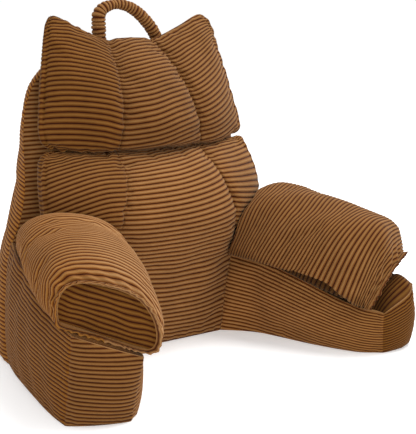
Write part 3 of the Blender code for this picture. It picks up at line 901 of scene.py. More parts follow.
# %% Side band and back
band_t = np.linspace(0, len(BAND) - 1, 600)
band_dense = by_row(BAND, band_t)
front_dense = on_face(band_dense[:, 0], band_dense[:, 1], 0.0)
front_dense[0] = ARM_HEAD
band_length = lengths(front_dense)[-1]
band_wale_count = band_length / BODY_PITCH
band_cells = round(band_wale_count)
upper_runs = np.linspace(0, band_length, band_cells + 1)
upper = by_row(BAND, np.interp(upper_runs, lengths(front_dense), band_t))
upper_front = on_face(upper[:, 0], upper[:, 1], 0.0)
upper_back = np.stack([upper[:, 2], 0.128 - 0.11 * upper[:, 3], upper[:, 3]], axis=-1)
BACK_CORNER = np.array([0.215, 0.126, 0.0])
lower_back = bowed(BACK_CORNER, upper_back[0], SHARES, (0.008, 0.004, 0))
front_seam = np.concatenate([ROOT, upper_front[1:]])
back_seam = np.concatenate([lower_back[:-1], upper_back])
front_seam[:, 0][-1] = back_seam[:, 0][-1] = 0.0

band_u = edge_spaced(0.155)
floor_side = bowed(ARM_FOOT, BACK_CORNER, band_u, (0.010, 0, 0))
over_top = bowed(front_seam[-1], back_seam[-1], band_u, (0, 0, 0.007))
band_v = np.linspace(0, 1, len(front_seam))
band_points = patch(floor_side, over_top, front_seam, back_seam, band_u, band_v)
crown = 0.006 * np.repeat(bulge(band_u)[None], len(front_seam), axis=0)
crown[0] = crown[-1] = 0
band_points = band_points + outward(band_points) * crown[..., None]

join = len(SHARES) - 1
upper_marks = wale_rows(LEVELS[-1], LEVELS[-1] + band_wale_count, margin=0.6)[1:]
band_rows = np.concatenate([LEVELS * BODY_PITCH / ARM_HEAD[2] * join,
                            join + (upper_marks - LEVELS[-1]) * band_cells / band_wale_count])
band_wales = np.concatenate([LEVELS, upper_marks])
# The band is painted lighter and warmer, as the light on it.
band = Panel(band_points, band_rows, band_wales, "lrb", seed=14, undulate=0.0016,
             split=1, corner=join, nap_and_painted_light=(1.20, 0.66))

back_u = edge_spaced(0.40, 0.014)
x_share = 1 - 2 * back_u
hollow = 0.022 * np.minimum(back_seam[:, 0] / 0.14, 1.0)
back_points = np.stack([
    back_seam[:, :1] * x_share,
    back_seam[:, 1:2] + hollow[:, None] * (1 - x_share**2).clip(0) ** 0.8,
    np.repeat(back_seam[:, 2:], len(x_share), axis=1)], axis=-1)
back_z = read_rows(back_seam[:, None], band_rows, join)[:, 0, 2]
turn = np.searchsorted(back_z, 0.41)     # above this the band's wales no longer lie level
back_wales = np.where(np.arange(len(back_z)) < turn, band_wales,
                      band_wales[turn] + (back_z - back_z[turn]) / BODY_PITCH)
back = Panel(back_points, band_rows, back_wales, "lrb", seed=15, undulate=0.0022, split=1, corner=join)
print("band", band.points.shape[:2], "back", back.points.shape[:2])

# %% [markdown]
# ### Filling the body
# All nine panels are filled as one shell, as the real cover is, so that a seam
# moves as one line for both of its panels. The pressure is low and the cloth
# hardly longer than cut, since a firm wedge shows little puffing.

# %% Fill the body
body_panels = [outer_wall, front_wall, inner_wall, band]
body_panels += [mirrored(p) for p in (left_outer_wall, left_front_wall, inner_wall, band)] + [back]
fill("body", body_panels, pressure=1.4, cap=0.006, slack=0.003)

bm = new_cloth()
for panel in body_panels:
    weave(panel)
    add_panel(bm, panel)

# %% [markdown]
# ### The arms' tops
# A pad hides most of an arm's top, and only a strip shows in front of it. The
# top is a patch between the walls' upper edges. Wales are drawn across the
# part that shows, darker towards the pad's shadow, and the patch is joined to
# the walls by a narrow strip, as its points don't meet theirs.

# %% Arm tops
ROOF_SHOWN = 0.085                      # how far back the top's wales are drawn
ROOF_PITCH = 0.8 * ARM_PITCH
ROOF_FREE = {1: 0.052, -1: 0.002}       # how much of the top is free in front of each pad
ROOF_CROWN = 0.028 / 0.052              # crown of the free part, as a share of its length
# The top's tint is painted shade: darkest and warmest at the inner edge, beside the pad.
ROOF_SHADE = ((0.22, 0.80), (0.52, 0.60), (0.62, 0.55), (0.62, 0.55))

slot_high = top_meets_face(lambda z: SLOT_HALF + SLOT_FLARE * z)


def arm_roof(outer, front, inner, side):
    """The arm's top between the upper edges of its walls, with a crown where it is free."""
    place = np.array([side, 1, 1])
    left = np.concatenate([inner[::-1], [slot_high]])
    loop = np.concatenate([left, outer[::-1], front[::-1][1:-1]])
    length, free = lengths(outer)[-1], ROOF_FREE[side]
    marks = wale_rows(0, ROOF_SHOWN / ROOF_PITCH)[1:] * ROOF_PITCH / length
    v = np.concatenate([[0], marks, np.linspace(marks[-1], 1, 10)[1:-1], [0.996, 1]])
    u = np.concatenate([[0], np.linspace(0.012, 0.988, 24), [1]])
    grid = patch(along_line(front, u), between(slot_high, ARM_HEAD, u),
                 along_line(left, v), along_line(outer, v), u, v)
    wale = v * length / ROOF_PITCH
    crown = ROOF_CROWN * free * bulge(v * length / free)
    cord = cord_height(wale) * 0.8 * WALE_HEIGHT * (v * length < ROOF_SHOWN)
    grid[..., 2] += (crown + cord)[:, None] * bulge(u)
    grid = grid[1:-1, 1:-1]
    across, along = np.broadcast_arrays(u[None, 1:-1] * 0.11, wale[1:-1, None])
    add_grid(bm, grid * place, across, along, ROOF_SHADE)
    outline = np.concatenate([grid[:-1, 0], grid[-1, :-1], grid[:0:-1, -1], grid[0, :0:-1]])
    rows, cols = grid.shape[0] - 1, grid.shape[1] - 1
    corners = ((0, len(left) - 1, len(left), len(left) + len(outer) - 1),
               (0, rows, rows + cols, 2 * rows + cols))
    add_strip(bm, loop * place, outline * place, 0.9, (0.3, 0.5), corners)


# %% [markdown]
# ### Closing the body
# Between the arms the body goes on behind the lumbar cushion. A narrow wall
# closes each side of that slot, one flat face closes the front, and another
# the base, where the pillow rests on the floor.

# %% Close the body
slot_shares = np.minimum(WALL_LEVELS * BODY_PITCH / slot_high[2], 1)
slot_line = between((SLOT_HALF, FACE_Y, 0), slot_high, slot_shares)
heights = np.repeat(WALL_LEVELS[:, None], 2, axis=1)
for side, inner, column in ((1, body_panels[2], 0), (-1, body_panels[6], -1)):
    arm_roof(*(panel.fine["points"][-1] for panel in body_panels[:3]), side)
    wall = np.stack([slot_line * (side, 1, 1), inner.fine["points"][:, column]], axis=1)
    add_grid(bm, wall, heights * 0 + [[0, 0.04]], heights)
bmesh.ops.remove_doubles(bm, verts=bm.verts, dist=MERGE)

slot_feet = [min(bm.verts, key=lambda v: (v.co - Vector((side * SLOT_HALF, FACE_Y, 0))).length)
             for side in (1, -1)]
bm.edges.new(slot_feet)
fill_flat(bm, lambda p: abs(p.y - face_y(p.z)) < NEAR_FACE)
for edge in bm.edges:            # all that is still open is the rim of the base
    if edge.is_boundary:
        for vert in edge.verts:
            vert.co.z = 0
fill_flat(bm, lambda p: p.z == 0)

# %% [markdown]
# ### The right arm has sunk
# In the photograph the right arm is softer than the left: it has sunk towards
# its front, with the pad on it, and its end is rounder. So the finished cloth
# of that side is moved, the body's and the pad's by the same rule, which keeps
# them in touch.

# %% The sunk arm
SUNK_ALONG = (0.08, 0.13, 0.176, 0.215, 0.25, 0.298, 0.352)
SUNK_DROP = (0, 0.005, 0.012, 0.019, 0.025, 0.028, 0.025)
NOSE_BACK, NOSE_INWARDS = 0.020, 0.026      # how far its end's two corners go in


def sunk(points, nose=0.0):
    """Lowers the right arm towards its front. nose rounds off its end."""
    x, y, z = points.T
    along, out = on_arm(x, y)
    drop = curve(along, SUNK_ALONG, SUNK_DROP) * np.clip(z / arm_top(along, out), 0, 1)
    end = nose * ease(along, 0.26, 0.35)
    back = end * NOSE_BACK * (1 - ease(out, 0, 0.10))
    inwards = end * NOSE_INWARDS * ease(out, 0.05, 0.12) * ease(z, 0.06, 0.14)
    shift = np.stack([-back * SIN - inwards * COS, back * COS - inwards * SIN, -drop], axis=1)
    return points + shift * (x > 0)[:, None]


finish_piece(bm, "body_cover", "body_corduroy", "main_body", settle=lambda p: sunk(p, 1.0))

# %% [markdown]
# ## Cushions
# A quilted cushion is a front of three channels and a side wall that turns in
# to the wedge. The channel seams are where the filling ends, so the front
# dives into them. The side wall is made from the front's rim: each of its
# points runs back to a foot on the leaning face.

# %% Side walls of a cushion
# A cushion's side wall is painted darker and warmer, as the shade that falls on it.
CUSHION_PITCH, WALL_RINGS, WALL_SHADE = 0.0080, 12, (0.66, 0.60)


def crease_height(points):
    """1 where a rim runs along the crease between the two cushions, 0 elsewhere."""
    return ease(points[:, 2], 0.350, 0.357) * (1 - ease(points[:, 2], 0.366, 0.374))


def rim_of(parts):
    """The outline of sewn panels: points, wale numbers and whether wales cross it."""
    points, wales, crossing = [], [], []
    for panel, side, backwards in parts:
        pick = {"b": np.s_[0], "t": np.s_[-1], "l": np.s_[:, 0], "r": np.s_[:, -1]}[side]
        line, v = panel.fine["points"][pick], panel.fine["v"][pick]
        if backwards:
            line, v = line[::-1], v[::-1]
        points.append(line[:-1])
        wales.append(v[:-1])
        crossing.append(np.full(len(line) - 1, side in "lr"))
    points, wales, crossing = (np.concatenate(x) for x in (points, wales, crossing))
    return tuple(np.concatenate([x, x[:1]]) for x in (points, wales, crossing))


def add_wall(bm, rim, foot, swell, crease):
    """The wall from a cushion's rim back to its foot on the wedge. It swells outwards,
    and up or down to the crease between two cushions."""
    points, wales, crossing = rim
    share = np.linspace(0, 1, WALL_RINGS + 1)[:, None, None]
    feet = foot(points, crossing)
    grid = points * (1 - share) + feet * share
    out = np.zeros_like(points)
    out[:, 0] = np.sign(points[:, 0]) * ease(np.abs(points[:, 0]), 0.16, 0.20)
    grid = grid + swell * bulge(share) * out
    back = share[..., 0]
    dive = (1 - np.exp(-back / 0.06)) * (1 - ease(back, 0.2, 0.7))
    grid[..., 2] += crease * dive * crease_height(points)
    back = lengths(grid, axis=0)
    cord = cord_height(wales) * WALE_HEIGHT * crossing
    lift = cord * ease(back, 0, 0.004) * ease(back[-1:] - back, 0, 0.006)
    grid = grid - outward(grid) * lift[..., None]
    grid[:, -1] = grid[:, 0]
    along = np.repeat(lengths(points)[None], WALL_RINGS + 1, axis=0)
    v = np.where(crossing, wales, wales + back / CUSHION_PITCH)
    add_grid(bm, grid, np.where(crossing, back, along), v, WALL_SHADE)


def close_cushion(bm, rim, foot, swell, crease):
    """Gives a sewn front its side wall and its flat back."""
    add_wall(bm, rim_of(rim), foot, swell, crease)
    bmesh.ops.remove_doubles(bm, verts=bm.verts, dist=MERGE)
    fill_flat(bm, lambda p: abs(p.y - (face_y(p.z) - GAP)) < NEAR_FACE)


print("cushion wale pitch", CUSHION_PITCH)

# %% [markdown]
# ## The lumbar cushion
# Its middle channel runs down to the floor between the arms, where the pillow
# is sat against. The side channels start above the arms and are pressed flat
# by the pads. One channel in three is enough to draw: the seams are shared, so
# the panels meet exactly.

# %% Lumbar sizes
LUMBAR_SEAM = (         # z, x, depth, crown of the middle panel
    (0.000, 0.1337, 0.042, 0.000), (0.018, 0.1353, 0.046, 0.003), (0.050, 0.1382, 0.052, 0.008),
    (0.085, 0.1413, 0.059, 0.014), (0.118, 0.1443, 0.067, 0.020), (0.148, 0.1470, 0.077, 0.024),
    (0.176, 0.1440, 0.093, 0.026), (0.205, 0.1350, 0.112, 0.027), (0.238, 0.1260, 0.128, 0.028),
    (0.268, 0.1170, 0.131, 0.028), (0.298, 0.1070, 0.127, 0.027), (0.322, 0.0990, 0.116, 0.025),
    (0.341, 0.0935, 0.099, 0.021), (0.355, 0.0895, 0.085, 0.017), (0.3607, 0.0880, 0.069, 0.010),
)
LUMBAR_EDGE = (         # z, x, depth of the outer edge
    (0.226, 0.2060, 0.036), (0.232, 0.2220, 0.047), (0.246, 0.2325, 0.056), (0.268, 0.2370, 0.060),
    (0.298, 0.2360, 0.057), (0.325, 0.2310, 0.052), (0.348, 0.2235, 0.049), (0.361, 0.2160, 0.050),
    (0.3660, 0.2060, 0.048),
)
LUMBAR_SPLIT = 6        # row where the side channels begin
LUMBAR_WALES = 50
SIDE_CROWN = {"lumbar": 0.020, "head": 0.022}


def side_bulge(u):
    """Crown over a side channel: full beside the seam, flat towards the edge."""
    return bulge(u**0.8)


def lumbar_centre(t, u):
    """Points of the middle panel, by row number and by share of its half width."""
    z, x, depth, crown = by_row(LUMBAR_SEAM, t).T[..., None]
    return on_face(u * x, z, depth + crown * bulge(0.5 + 0.5 * np.abs(u)))


dense_t = np.linspace(0, len(LUMBAR_SEAM) - 1, 700)
run = sum(lengths(lumbar_centre(dense_t, np.array([u]))[:, 0]) for u in (0.0, 1.0)) / 2
split_run = np.interp(LUMBAR_SPLIT, dense_t, run)
low_wales = round(LUMBAR_WALES * split_run / run[-1])
stops = np.concatenate([np.linspace(0, split_run, low_wales + 1),
                        np.linspace(split_run, run[-1], LUMBAR_WALES - low_wales + 1)[1:]])
lumbar_t = np.interp(stops, run, dense_t)
lumbar_t[low_wales] = LUMBAR_SPLIT
print(low_wales, "lumbar wales lie below the side channels")
print("lumbar wale pitch", round(run[-1] / LUMBAR_WALES * 1000, 2), "mm")

# %% [markdown]
# ### The lumbar panels
# The middle panel is as long as the whole cushion and the side panels share
# its upper seams, wale for wale. The wales climb or sag as they cross a
# channel, because the filling has pulled the cloth. That drift is laid in
# after the simulation, from a few judged numbers.

# %% Lumbar panels
centre_u = 2 * edge_spaced(0.26) - 1
# The lumbar's panels carry painted light and shade: the middle a little lighter, the side channels
# darker, the left one the most.
centre = Panel(lumbar_centre(lumbar_t, centre_u), seed=21, nap_and_painted_light=(1.07, 0.02))
wing_u = edge_spaced(0.105, 0.009)
wing_t = lumbar_t[low_wales:]
seam = by_row(LUMBAR_SEAM, wing_t)
edge = by_row(LUMBAR_EDGE, wing_t - LUMBAR_SPLIT)
low_z, high_z = LUMBAR_SEAM[LUMBAR_SPLIT][0], LUMBAR_SEAM[-1][0]
up_share = (seam[:, :1] - low_z) / (high_z - low_z)
fullness = np.clip(2.4 * up_share, 0, 1) * bulge(0.5 + 0.5 * up_share) ** 0.5
wing_z, wing_x, wing_depth = (
    seam[:, k:k + 1] + (edge[:, k:k + 1] - seam[:, k:k + 1]) * wing_u for k in range(3))
wing_points = on_face(wing_x, wing_z, wing_depth + SIDE_CROWN["lumbar"] * side_bulge(wing_u) * fullness)
wing_points[:, 0] = centre.points[low_wales:, -1]
pressed_flat = np.repeat(1 - ease(seam[:, :1], 0.20, 0.27), len(wing_u), axis=1)
wing = Panel(wing_points, beads="r", seed=22, fixed=pressed_flat, nap_and_painted_light=(0.96, 0.08))
lumbar_panels = [centre, wing, mirrored(wing)]
# The left side channel is painted darker and warmer, as its shade.
lumbar_panels[2].nap_and_painted_light, lumbar_panels[2].ruffles = (0.80, 0.28), "t"
fill("lumbar", lumbar_panels, pressure=2.5, cap=0.006, slack=0.015)


def lumbar_drift(place, row):
    """How far the wales have climbed, by row and by place: -2 and 2 are the outer edges."""
    across = curve(row, (0, 10, 21, 30, 40, 50), (-2.5, -2.0, 0.0, 1.5, 2.8, 3.8))
    sag = curve(row, (0, 12, 24, 50), (1.4, 1.4, 0.8, 0.3))
    left = curve(-place, (1, 1.3, 1.62, 2), (0, -0.2, -1.8, -4.6))
    right = np.clip(place - 1, 0, 1) * curve(row, (21, 30, 38, 46, 50), (-3.4, -2.8, -1.2, 0.2, 0.2))
    f = (np.clip(place, -1, 1) + 1) / 2
    return across * f - sag * 4 * f * (1 - f) + left + right


lay_wales(centre, centre_u, lumbar_drift)
lay_wales(lumbar_panels[1], 1 + wing_u, lumbar_drift, low_wales)
lay_wales(lumbar_panels[2], -1 - wing_u[::-1], lumbar_drift, low_wales)


print("lumbar panels:", [p.points.shape[:2] for p in lumbar_panels])

# %% [markdown]
# ### Sewing the lumbar cushion
# The drifted wales of two panels needn't meet along a channel seam, so the
# side panels take the middle panel's own points there. Then the outline is
# followed round, and the side wall hangs from it.

# %% Sew the lumbar cushion
def lumbar_foot(p, crossing):
    """Where a point of the rim comes down on the wedge's face."""
    x, z = np.abs(p[:, 0]), p[:, 2]
    inset = np.minimum(x, 0.196 + 0.1 * (x - 0.196))
    height = np.where((x > 0.15) & (z < 0.23), 0.225, np.clip(z, 0.2, 0.345))
    low = z < low_z - 1e-4
    return on_face(np.where(low, x, inset) * np.sign(p[:, 0]), np.where(low, z, height))


bm = new_cloth()
split_rows = [int(np.argmin(np.abs(lumbar_panels[0].rows[:, side] - low_wales))) for side in (0, -1)]
for panel, side in zip(lumbar_panels, (None, 0, -1)):
    weave(panel)
    if side is not None:        # the channel seam is the middle panel's own
        own = lumbar_panels[0].fine["points"][:, -1 - side]
        start = split_rows[-1 - side]
        panel.fine["points"][:, side] = own[np.maximum(np.arange(len(own)), start)]
    add_panel(bm, panel)


def cut(panel, first=None, last=None):
    """A panel's finished rows from one to another, for a part of its outline."""
    short = Panel(panel.points)
    short.fine = {key: value[first:last] for key, value in panel.fine.items()}
    return short


centre, wing, far_wing = lumbar_panels
left_lower, right_lower = (cut(centre, None, row + 1) for row in split_rows)
rim = [(centre, "b", False), (right_lower, "r", False), (wing, "b", False), (wing, "r", False),
       (wing, "t", True), (centre, "t", True), (far_wing, "t", True), (far_wing, "l", True),
       (far_wing, "b", False), (left_lower, "l", True)]
close_cushion(bm, rim, lumbar_foot, 0.006, 0.0016)
finish_piece(bm, "lumbar_cover", "cushion_corduroy", "lumbar_cushion")

# %% [markdown]
# ## The head cushion
# Three channels again, with the two upper corners drawn up into ears. Its
# table is read by the share of its height, and its lower and upper edges by
# where they cross the channels.

# %% Head sizes
HEAD = (                # share, seam x and depth, edge x and depth, crown
    (0.000, 0.0885, 0.062, 0.2050, 0.044, 0.013), (0.022, 0.0885, 0.078, 0.2140, 0.044, 0.020),
    (0.060, 0.0880, 0.087, 0.2185, 0.042, 0.025), (0.130, 0.0860, 0.090, 0.2195, 0.039, 0.029),
    (0.230, 0.0830, 0.095, 0.2160, 0.037, 0.031), (0.340, 0.0795, 0.094, 0.2110, 0.035, 0.031),
    (0.450, 0.0755, 0.090, 0.2060, 0.033, 0.029), (0.560, 0.0710, 0.082, 0.2005, 0.031, 0.026),
    (0.670, 0.0660, 0.071, 0.1950, 0.029, 0.023), (0.780, 0.0610, 0.056, 0.1895, 0.027, 0.020),
    (0.880, 0.0560, 0.038, 0.1840, 0.025, 0.016), (0.960, 0.0510, 0.023, 0.1770, 0.023, 0.011),
    (1.000, 0.0480, 0.015, 0.1690, 0.021, 0.004),
)
HEAD_LOW = ((0.0, 0.3590), (1.0, 0.3595), (1.5, 0.3605), (2.0, 0.3725))
HEAD_HIGH = ((0.0, 0.5570), (0.7, 0.5555), (1.0, 0.5530), (1.5, 0.5755),
             (1.8, 0.5930), (1.92, 0.5975), (2.0, 0.5940))
HEAD_WALES = 32


def head_points(shares, u):
    """The front: u is 0 in the middle, 1 at a channel seam and 2 at an edge."""
    _, seam_x, seam_depth, edge_x, edge_depth, crown = smooth(HEAD, shares).T[..., None]
    a, side = np.abs(u), np.sign(u)
    low, high = smooth(HEAD_LOW, a)[:, 1], smooth(HEAD_HIGH, a)[:, 1]
    z = low * (1 - shares[:, None]) + high * shares[:, None]
    f = np.clip(a - 1, 0, 1)
    inside = on_face(u * seam_x, z, seam_depth + crown * bulge(0.5 + 0.5 * np.minimum(a, 1)))
    side_crown = SIDE_CROWN["head"] * side_bulge(f) * bulge(shares[:, None]) ** 0.5
    depth = (1 - f) * seam_depth + f * edge_depth + side_crown
    outside = on_face(side * (seam_x + (edge_x - seam_x) * f), z, depth)
    return np.where((a <= 1)[None, :, None], inside, outside)


dense = np.linspace(0, 1, 500)
run = sum(lengths(head_points(dense, np.array([u]))[:, 0]) for u in (0.0, 1.0, 1.5)) / 3
head_shares = np.interp(np.linspace(0, run[-1], HEAD_WALES + 1), run, dense)
print("head wale pitch", round(run[-1] / HEAD_WALES * 1000, 2), "mm")

# %% [markdown]
# ### The head panels
# Again a middle panel and two side panels with their own drift. The left
# one's lower edge is ruffled, where the cushion is sewn down in the crease.

# %% Head panels
centre_u, wing_u = 2 * edge_spaced(0.15) - 1, 1 + edge_spaced(0.135, 0.009)
# The head's panels are painted a little darker and warmer, as their shade.
centre = Panel(head_points(head_shares, centre_u), seed=31, nap_and_painted_light=(0.94, 0.18))
wing = Panel(head_points(head_shares, wing_u), beads="r", seed=32, nap_and_painted_light=(0.97, 0.14))
wing.points[:, 0] = centre.points[:, -1]
head_panels = [centre, wing, mirrored(wing)]
# The left side channel is painted darker and warmer still, as its shade.
head_panels[2].nap_and_painted_light, head_panels[2].ruffles = (0.78, 0.50), "b"
fill("head", head_panels, pressure=2.5, cap=0.006, slack=0.015)


def head_drift(place, row):
    """The same for the head cushion."""
    climb = curve(place, (-2, -1.6, -1.3, -1, -0.5, 0, 0.5, 1, 1.5, 2),
                  (-2.1, -0.1, 0.4, 0, 0.55, 1.25, 1.9, 2.5, 3.6, 4.4))
    dip = curve(place, (-1, -0.4, 0.2), (0, 0.35, 0))
    low = 2.0 * np.clip(place + 2, 0, 1) - 1.2 * np.clip((place + 1) / 2, 0, 1)
    ear = 2.2 * np.clip((place - 1.3) / 0.7, 0, 1)
    return (climb - dip * (1 - ease(row, 14, 26)) - low * (1 - ease(row, 2, 18))
            - ear * ease(row, 22, 30))


for panel, places in zip(head_panels, (centre_u, wing_u, -wing_u[::-1])):
    lay_wales(panel, places, head_drift)


def head_foot(p, crossing):
    """Where a point of the rim comes down on the wedge's face."""
    x, z = np.abs(p[:, 0]), p[:, 2]
    inset = np.minimum(x, 0.168 - 0.25 * np.maximum(z - 0.47, 0))
    inset = np.where(~crossing & (z > 0.5), x - 0.0335 * ease(x, 0.08, 0.169), inset)
    height = np.minimum(np.maximum(z, 0.372), 0.532 - 0.10 * np.maximum(inset - 0.12, 0))
    return on_face(np.sign(p[:, 0]) * inset, height)


bm = new_cloth()
for panel in head_panels:
    weave(panel)
    add_panel(bm, panel)
centre, wing, far_wing = head_panels
rim = [(far_wing, "b", False), (centre, "b", False), (wing, "b", False), (wing, "r", False),
       (wing, "t", True), (centre, "t", True), (far_wing, "t", True), (far_wing, "l", True)]
close_cushion(bm, rim, head_foot, 0.005, -0.0016)
# The head gets the cushion cloth's darker copy, painted shade.
finish_piece(bm, "head_cover", "cushion_corduroy", "head_cushion", cloth="head_corduroy_shaded")

# %% [markdown]
# ## The armrest pads
# A pad is a tube of cloth: its wales run round it, over the arm. The front end
# is gathered on to a flat D-shaped panel and stands up round it as a frill.
# The rear end is pressed against the lumbar cushion, so each of its points
# feels forward from the cushion's skin.

# %% Pad sizes
PAD_CENTRE, PAD_HALF, PAD_SLUMP = 0.070, 0.092, 0.26
PAD_REACH, PAD_CLEAR, PAD_SPANS = 0.012, 0.004, 57
PAD = (                 # along, width share, height
    (0.000, 0.20, 0.020), (0.001, 0.44, 0.040), (0.004, 0.66, 0.060), (0.010, 0.84, 0.082),
    (0.024, 0.95, 0.098), (0.050, 1.00, 0.107), (0.100, 1.04, 0.111), (0.160, 1.05, 0.109),
    (0.215, 1.04, 0.107), (0.255, 1.01, 0.104), (0.285, 0.98, 0.101), (0.305, 0.94, 0.097),
    (0.317, 0.90, 0.092), (0.322, 0.88, 0.088),
)
PAD_SECTION = (         # across share, height share, round the tube from mid underside
    (0.00, 0.000), (0.60, 0.000), (0.86, 0.004), (0.95, 0.040), (0.99, 0.140), (1.00, 0.310),
    (0.97, 0.520), (0.88, 0.700), (0.73, 0.850), (0.52, 0.945), (0.27, 0.990), (0.00, 1.000),
    (-0.27, 0.990), (-0.52, 0.945), (-0.73, 0.850), (-0.88, 0.700), (-0.97, 0.540),
    (-1.01, 0.360), (-1.00, 0.220), (-0.95, 0.110), (-0.84, 0.035), (-0.60, 0.000),
    (0.00, 0.000),
)
LEAN_AT, RISE_AT = (0, 0.12, 0.24, 0.32), (0.12, 0.22, 0.30, 0.322)     # along the arm
TUCK_AT = (0.03, 0.13, 0.215, 0.26, 0.305)


@dataclass
class Pad:
    """What differs between the two pads, as the photograph shows them."""
    side: int
    seed: int
    lean: tuple         # how far the cloth leans forward with height, at LEAN_AT
    skew: tuple         # how far it falls back outwards: middle, front
    rise: tuple         # extra height, at RISE_AT
    reach: float        # how much further forward its end lies
    taper: float        # how much narrower its end is
    pitch: tuple        # wale pitch at the rear and at the front
    # painted light and shade round the tube, from its mid underside
    nap_and_painted_light: tuple
    slump: float        # how much of its slope outwards is left at its end
    tuck: tuple         # how far its inner lower edge stands off the arm, at TUCK_AT
    gather: float       # depth of the gathers at its front


# Each pad's tint is painted light and shade round its tube: the right pad darker, and darkest on its
# inner lower side as the shade under its overhang; the left pad lighter and cooler on its top and inner
# side, as light on them, and warmer on its outer side.
PADS = {
    "armrest_right": Pad(
        side=1, seed=3, lean=(0.32, 0.50, 0.60, 0.42), skew=(-0.05, 0.14),
        rise=(0.009, 0.023, 0.019, -0.019), reach=-0.012, taper=0.10, pitch=(0.0076, 0.0070),
        nap_and_painted_light=[(0.84, 0.22)] * 10 + [(0.95, 0.10)] * 3 + [(0.28, 0.5)] * 4,
        slump=1.0, tuck=(0.15, 0.22, 0.31, 0.30, 0.13), gather=0.0050),
    "armrest_left": Pad(
        side=-1, seed=8, lean=(0.42, 0.10, 0.07, 0.05), skew=(0.0, 0.04),
        rise=(0.0, 0.009, 0.009, 0.003), reach=0.014, taper=0.02, pitch=(0.0092, 0.0104),
        nap_and_painted_light=((1.02, 0.60), (1.02, 0.55), (1.30, -0.16), (1.30, -0.16), (1.15, 0.0)),
        slump=0.5, tuck=(0, 0, 0, 0, 0), gather=0.0030),
}
print("pads:", list(PADS))

# %% [markdown]
# ### A pad's surface
# Every point is found from the two tables and the pad's own numbers, laid on
# the arm's sloping top, and leaned forward. At the rear it is then moved
# forward until it clears the cushion.

# %% Pad surface
LUMBAR_SKIN = BVHTree.FromPolygons(
    [v.co - Vector((0, DEPTH_SHIFT, 0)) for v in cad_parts["lumbar_cushion"].data.vertices],
    [p.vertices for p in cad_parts["lumbar_cushion"].data.polygons])


def pressed(p):
    """Moves a point forward until it clears the lumbar cushion's skin."""
    for dx, dz in ((0, 0), (PAD_REACH, 0), (-PAD_REACH, 0), (0, PAD_REACH), (0, -PAD_REACH)):
        hit = LUMBAR_SKIN.ray_cast(Vector((p[0] + dx, -1, p[2] + dz)), Vector((0, 1, 0)))[0]
        if hit and hit.y - PAD_CLEAR < p[1]:
            p[1] = hit.y - PAD_CLEAR
    return p


def pad_grid(t, shares, pad):
    """Points of a pad by row number of its table and by share round its section."""
    along, width, height = by_row(PAD, t).T[..., None]
    section = by_row(PAD_SECTION, shares * (len(PAD_SECTION) - 1))
    across, up = section[:, 0], np.maximum(section[:, 1], 0)
    up = np.maximum(up, curve(along, TUCK_AT, pad.tuck) * ease(-across, 0.60, 0.74))
    height = height + curve(along, RISE_AT, pad.rise)
    width = width * (1 - pad.taper * ease(along, 0.27, 0.322))
    slope = PAD_SLUMP * (1 - (1 - pad.slump) * ease(along, 0.16, 0.31))
    h = up * height * (1 - slope * across)
    out = PAD_CENTRE + across * width * PAD_HALF * (1.0 - 0.09 * across)
    lift = h + (0.105 * up - h) * ease(along, 0.12, 0.25)
    lean = curve(along, LEAN_AT, pad.lean)
    skew = np.interp(along, (0.05, 0.12, 0.22, 0.32), (0, pad.skew[0], pad.skew[0], pad.skew[1]))
    s = (along + pad.reach * ease(along, 0.18, 0.322) + lean * (lift - 0.045 * ease(along, 0, 0.12))
         - skew * (out - PAD_CENTRE))
    grid = arm_point(s, out, arm_top(s, out) + GAP + h)
    for j in np.flatnonzero(along[:, 0] < 0.10):
        for i in range(len(shares)):
            p = pressed(grid[j, i])
            p[2] = arm_top(*on_arm(*p[:2])) + GAP + h[j, i]
    return grid


def pad_rows(pad):
    """Row numbers one wale apart: the cloth is finer at the rear than at the front."""
    dense_t = np.linspace(0, len(PAD) - 1, 160)
    run = lengths(pad_grid(dense_t, np.array([0.5]), pad))[:, 0]
    pitch = np.interp(run / run[-1], (0, 1), pad.pitch)
    wales = np.concatenate([[0], np.cumsum(np.diff(run) / ((pitch[1:] + pitch[:-1]) / 2))])
    return np.interp(np.linspace(0, wales[-1], round(wales[-1]) + 1), wales, dense_t)


def pad_stops(pad):
    """Shares of the section that cut its girth in equal lengths."""
    return even_stops(pad_grid(np.array([6.0]), np.linspace(0, 1, 300), pad)[0], PAD_SPANS) / 299


print("pad wales:", {name: len(pad_rows(pad)) - 1 for name, pad in PADS.items()})


# %% [markdown]
# ### A pad's front end
# The frill is a ring of pleats that stands forward of the cover's edge, turns
# over and goes back down to the seam. Pleats drawn as one even wave look like
# a machine part, so slower waves shift their spacing and their depth. Inside
# the frill lies the end panel, with its wales along the arm's top.

# %% Frill and end panel
PLEAT, PLEAT_POINTS = 0.0125, 420           # spacing of the pleats, points round a ring
PLEAT_SHIFTS = ((2, 1.6), (5, 1.3), (9, 0.9), (14, 0.6))      # waves to the round, radians
FRILL = (               # per ring: forward, more by pleat, outwards, more by pleat
    (0.0015, 0.0000, 0.0002, 0.0010), (0.0040, 0.0015, 0.0004, 0.0030),
    (0.0064, 0.0040, 0.0004, 0.0042), (0.0070, 0.0042, -0.0010, 0.0036),
    (0.0048, 0.0024, -0.0030, 0.0022), (0.0004, 0.0000, -0.0044, 0.0010),
    (-0.0035, 0.0000, -0.0054, 0.0000),
)
# The end panel is painted darker and warmer, as the shade it lies in.
END_PITCH, END_COLUMNS, END_SHADE, END_PUFF = 0.0083, 25, (0.58, 0.62), 0.003


def outwards_round(ring):
    """Unit vectors at a pad's front end: outwards round the ring."""
    out = ring - ring.mean(axis=0)
    out = out - np.outer(out @ ahead, ahead)
    return out / np.linalg.norm(out, axis=1, keepdims=True)


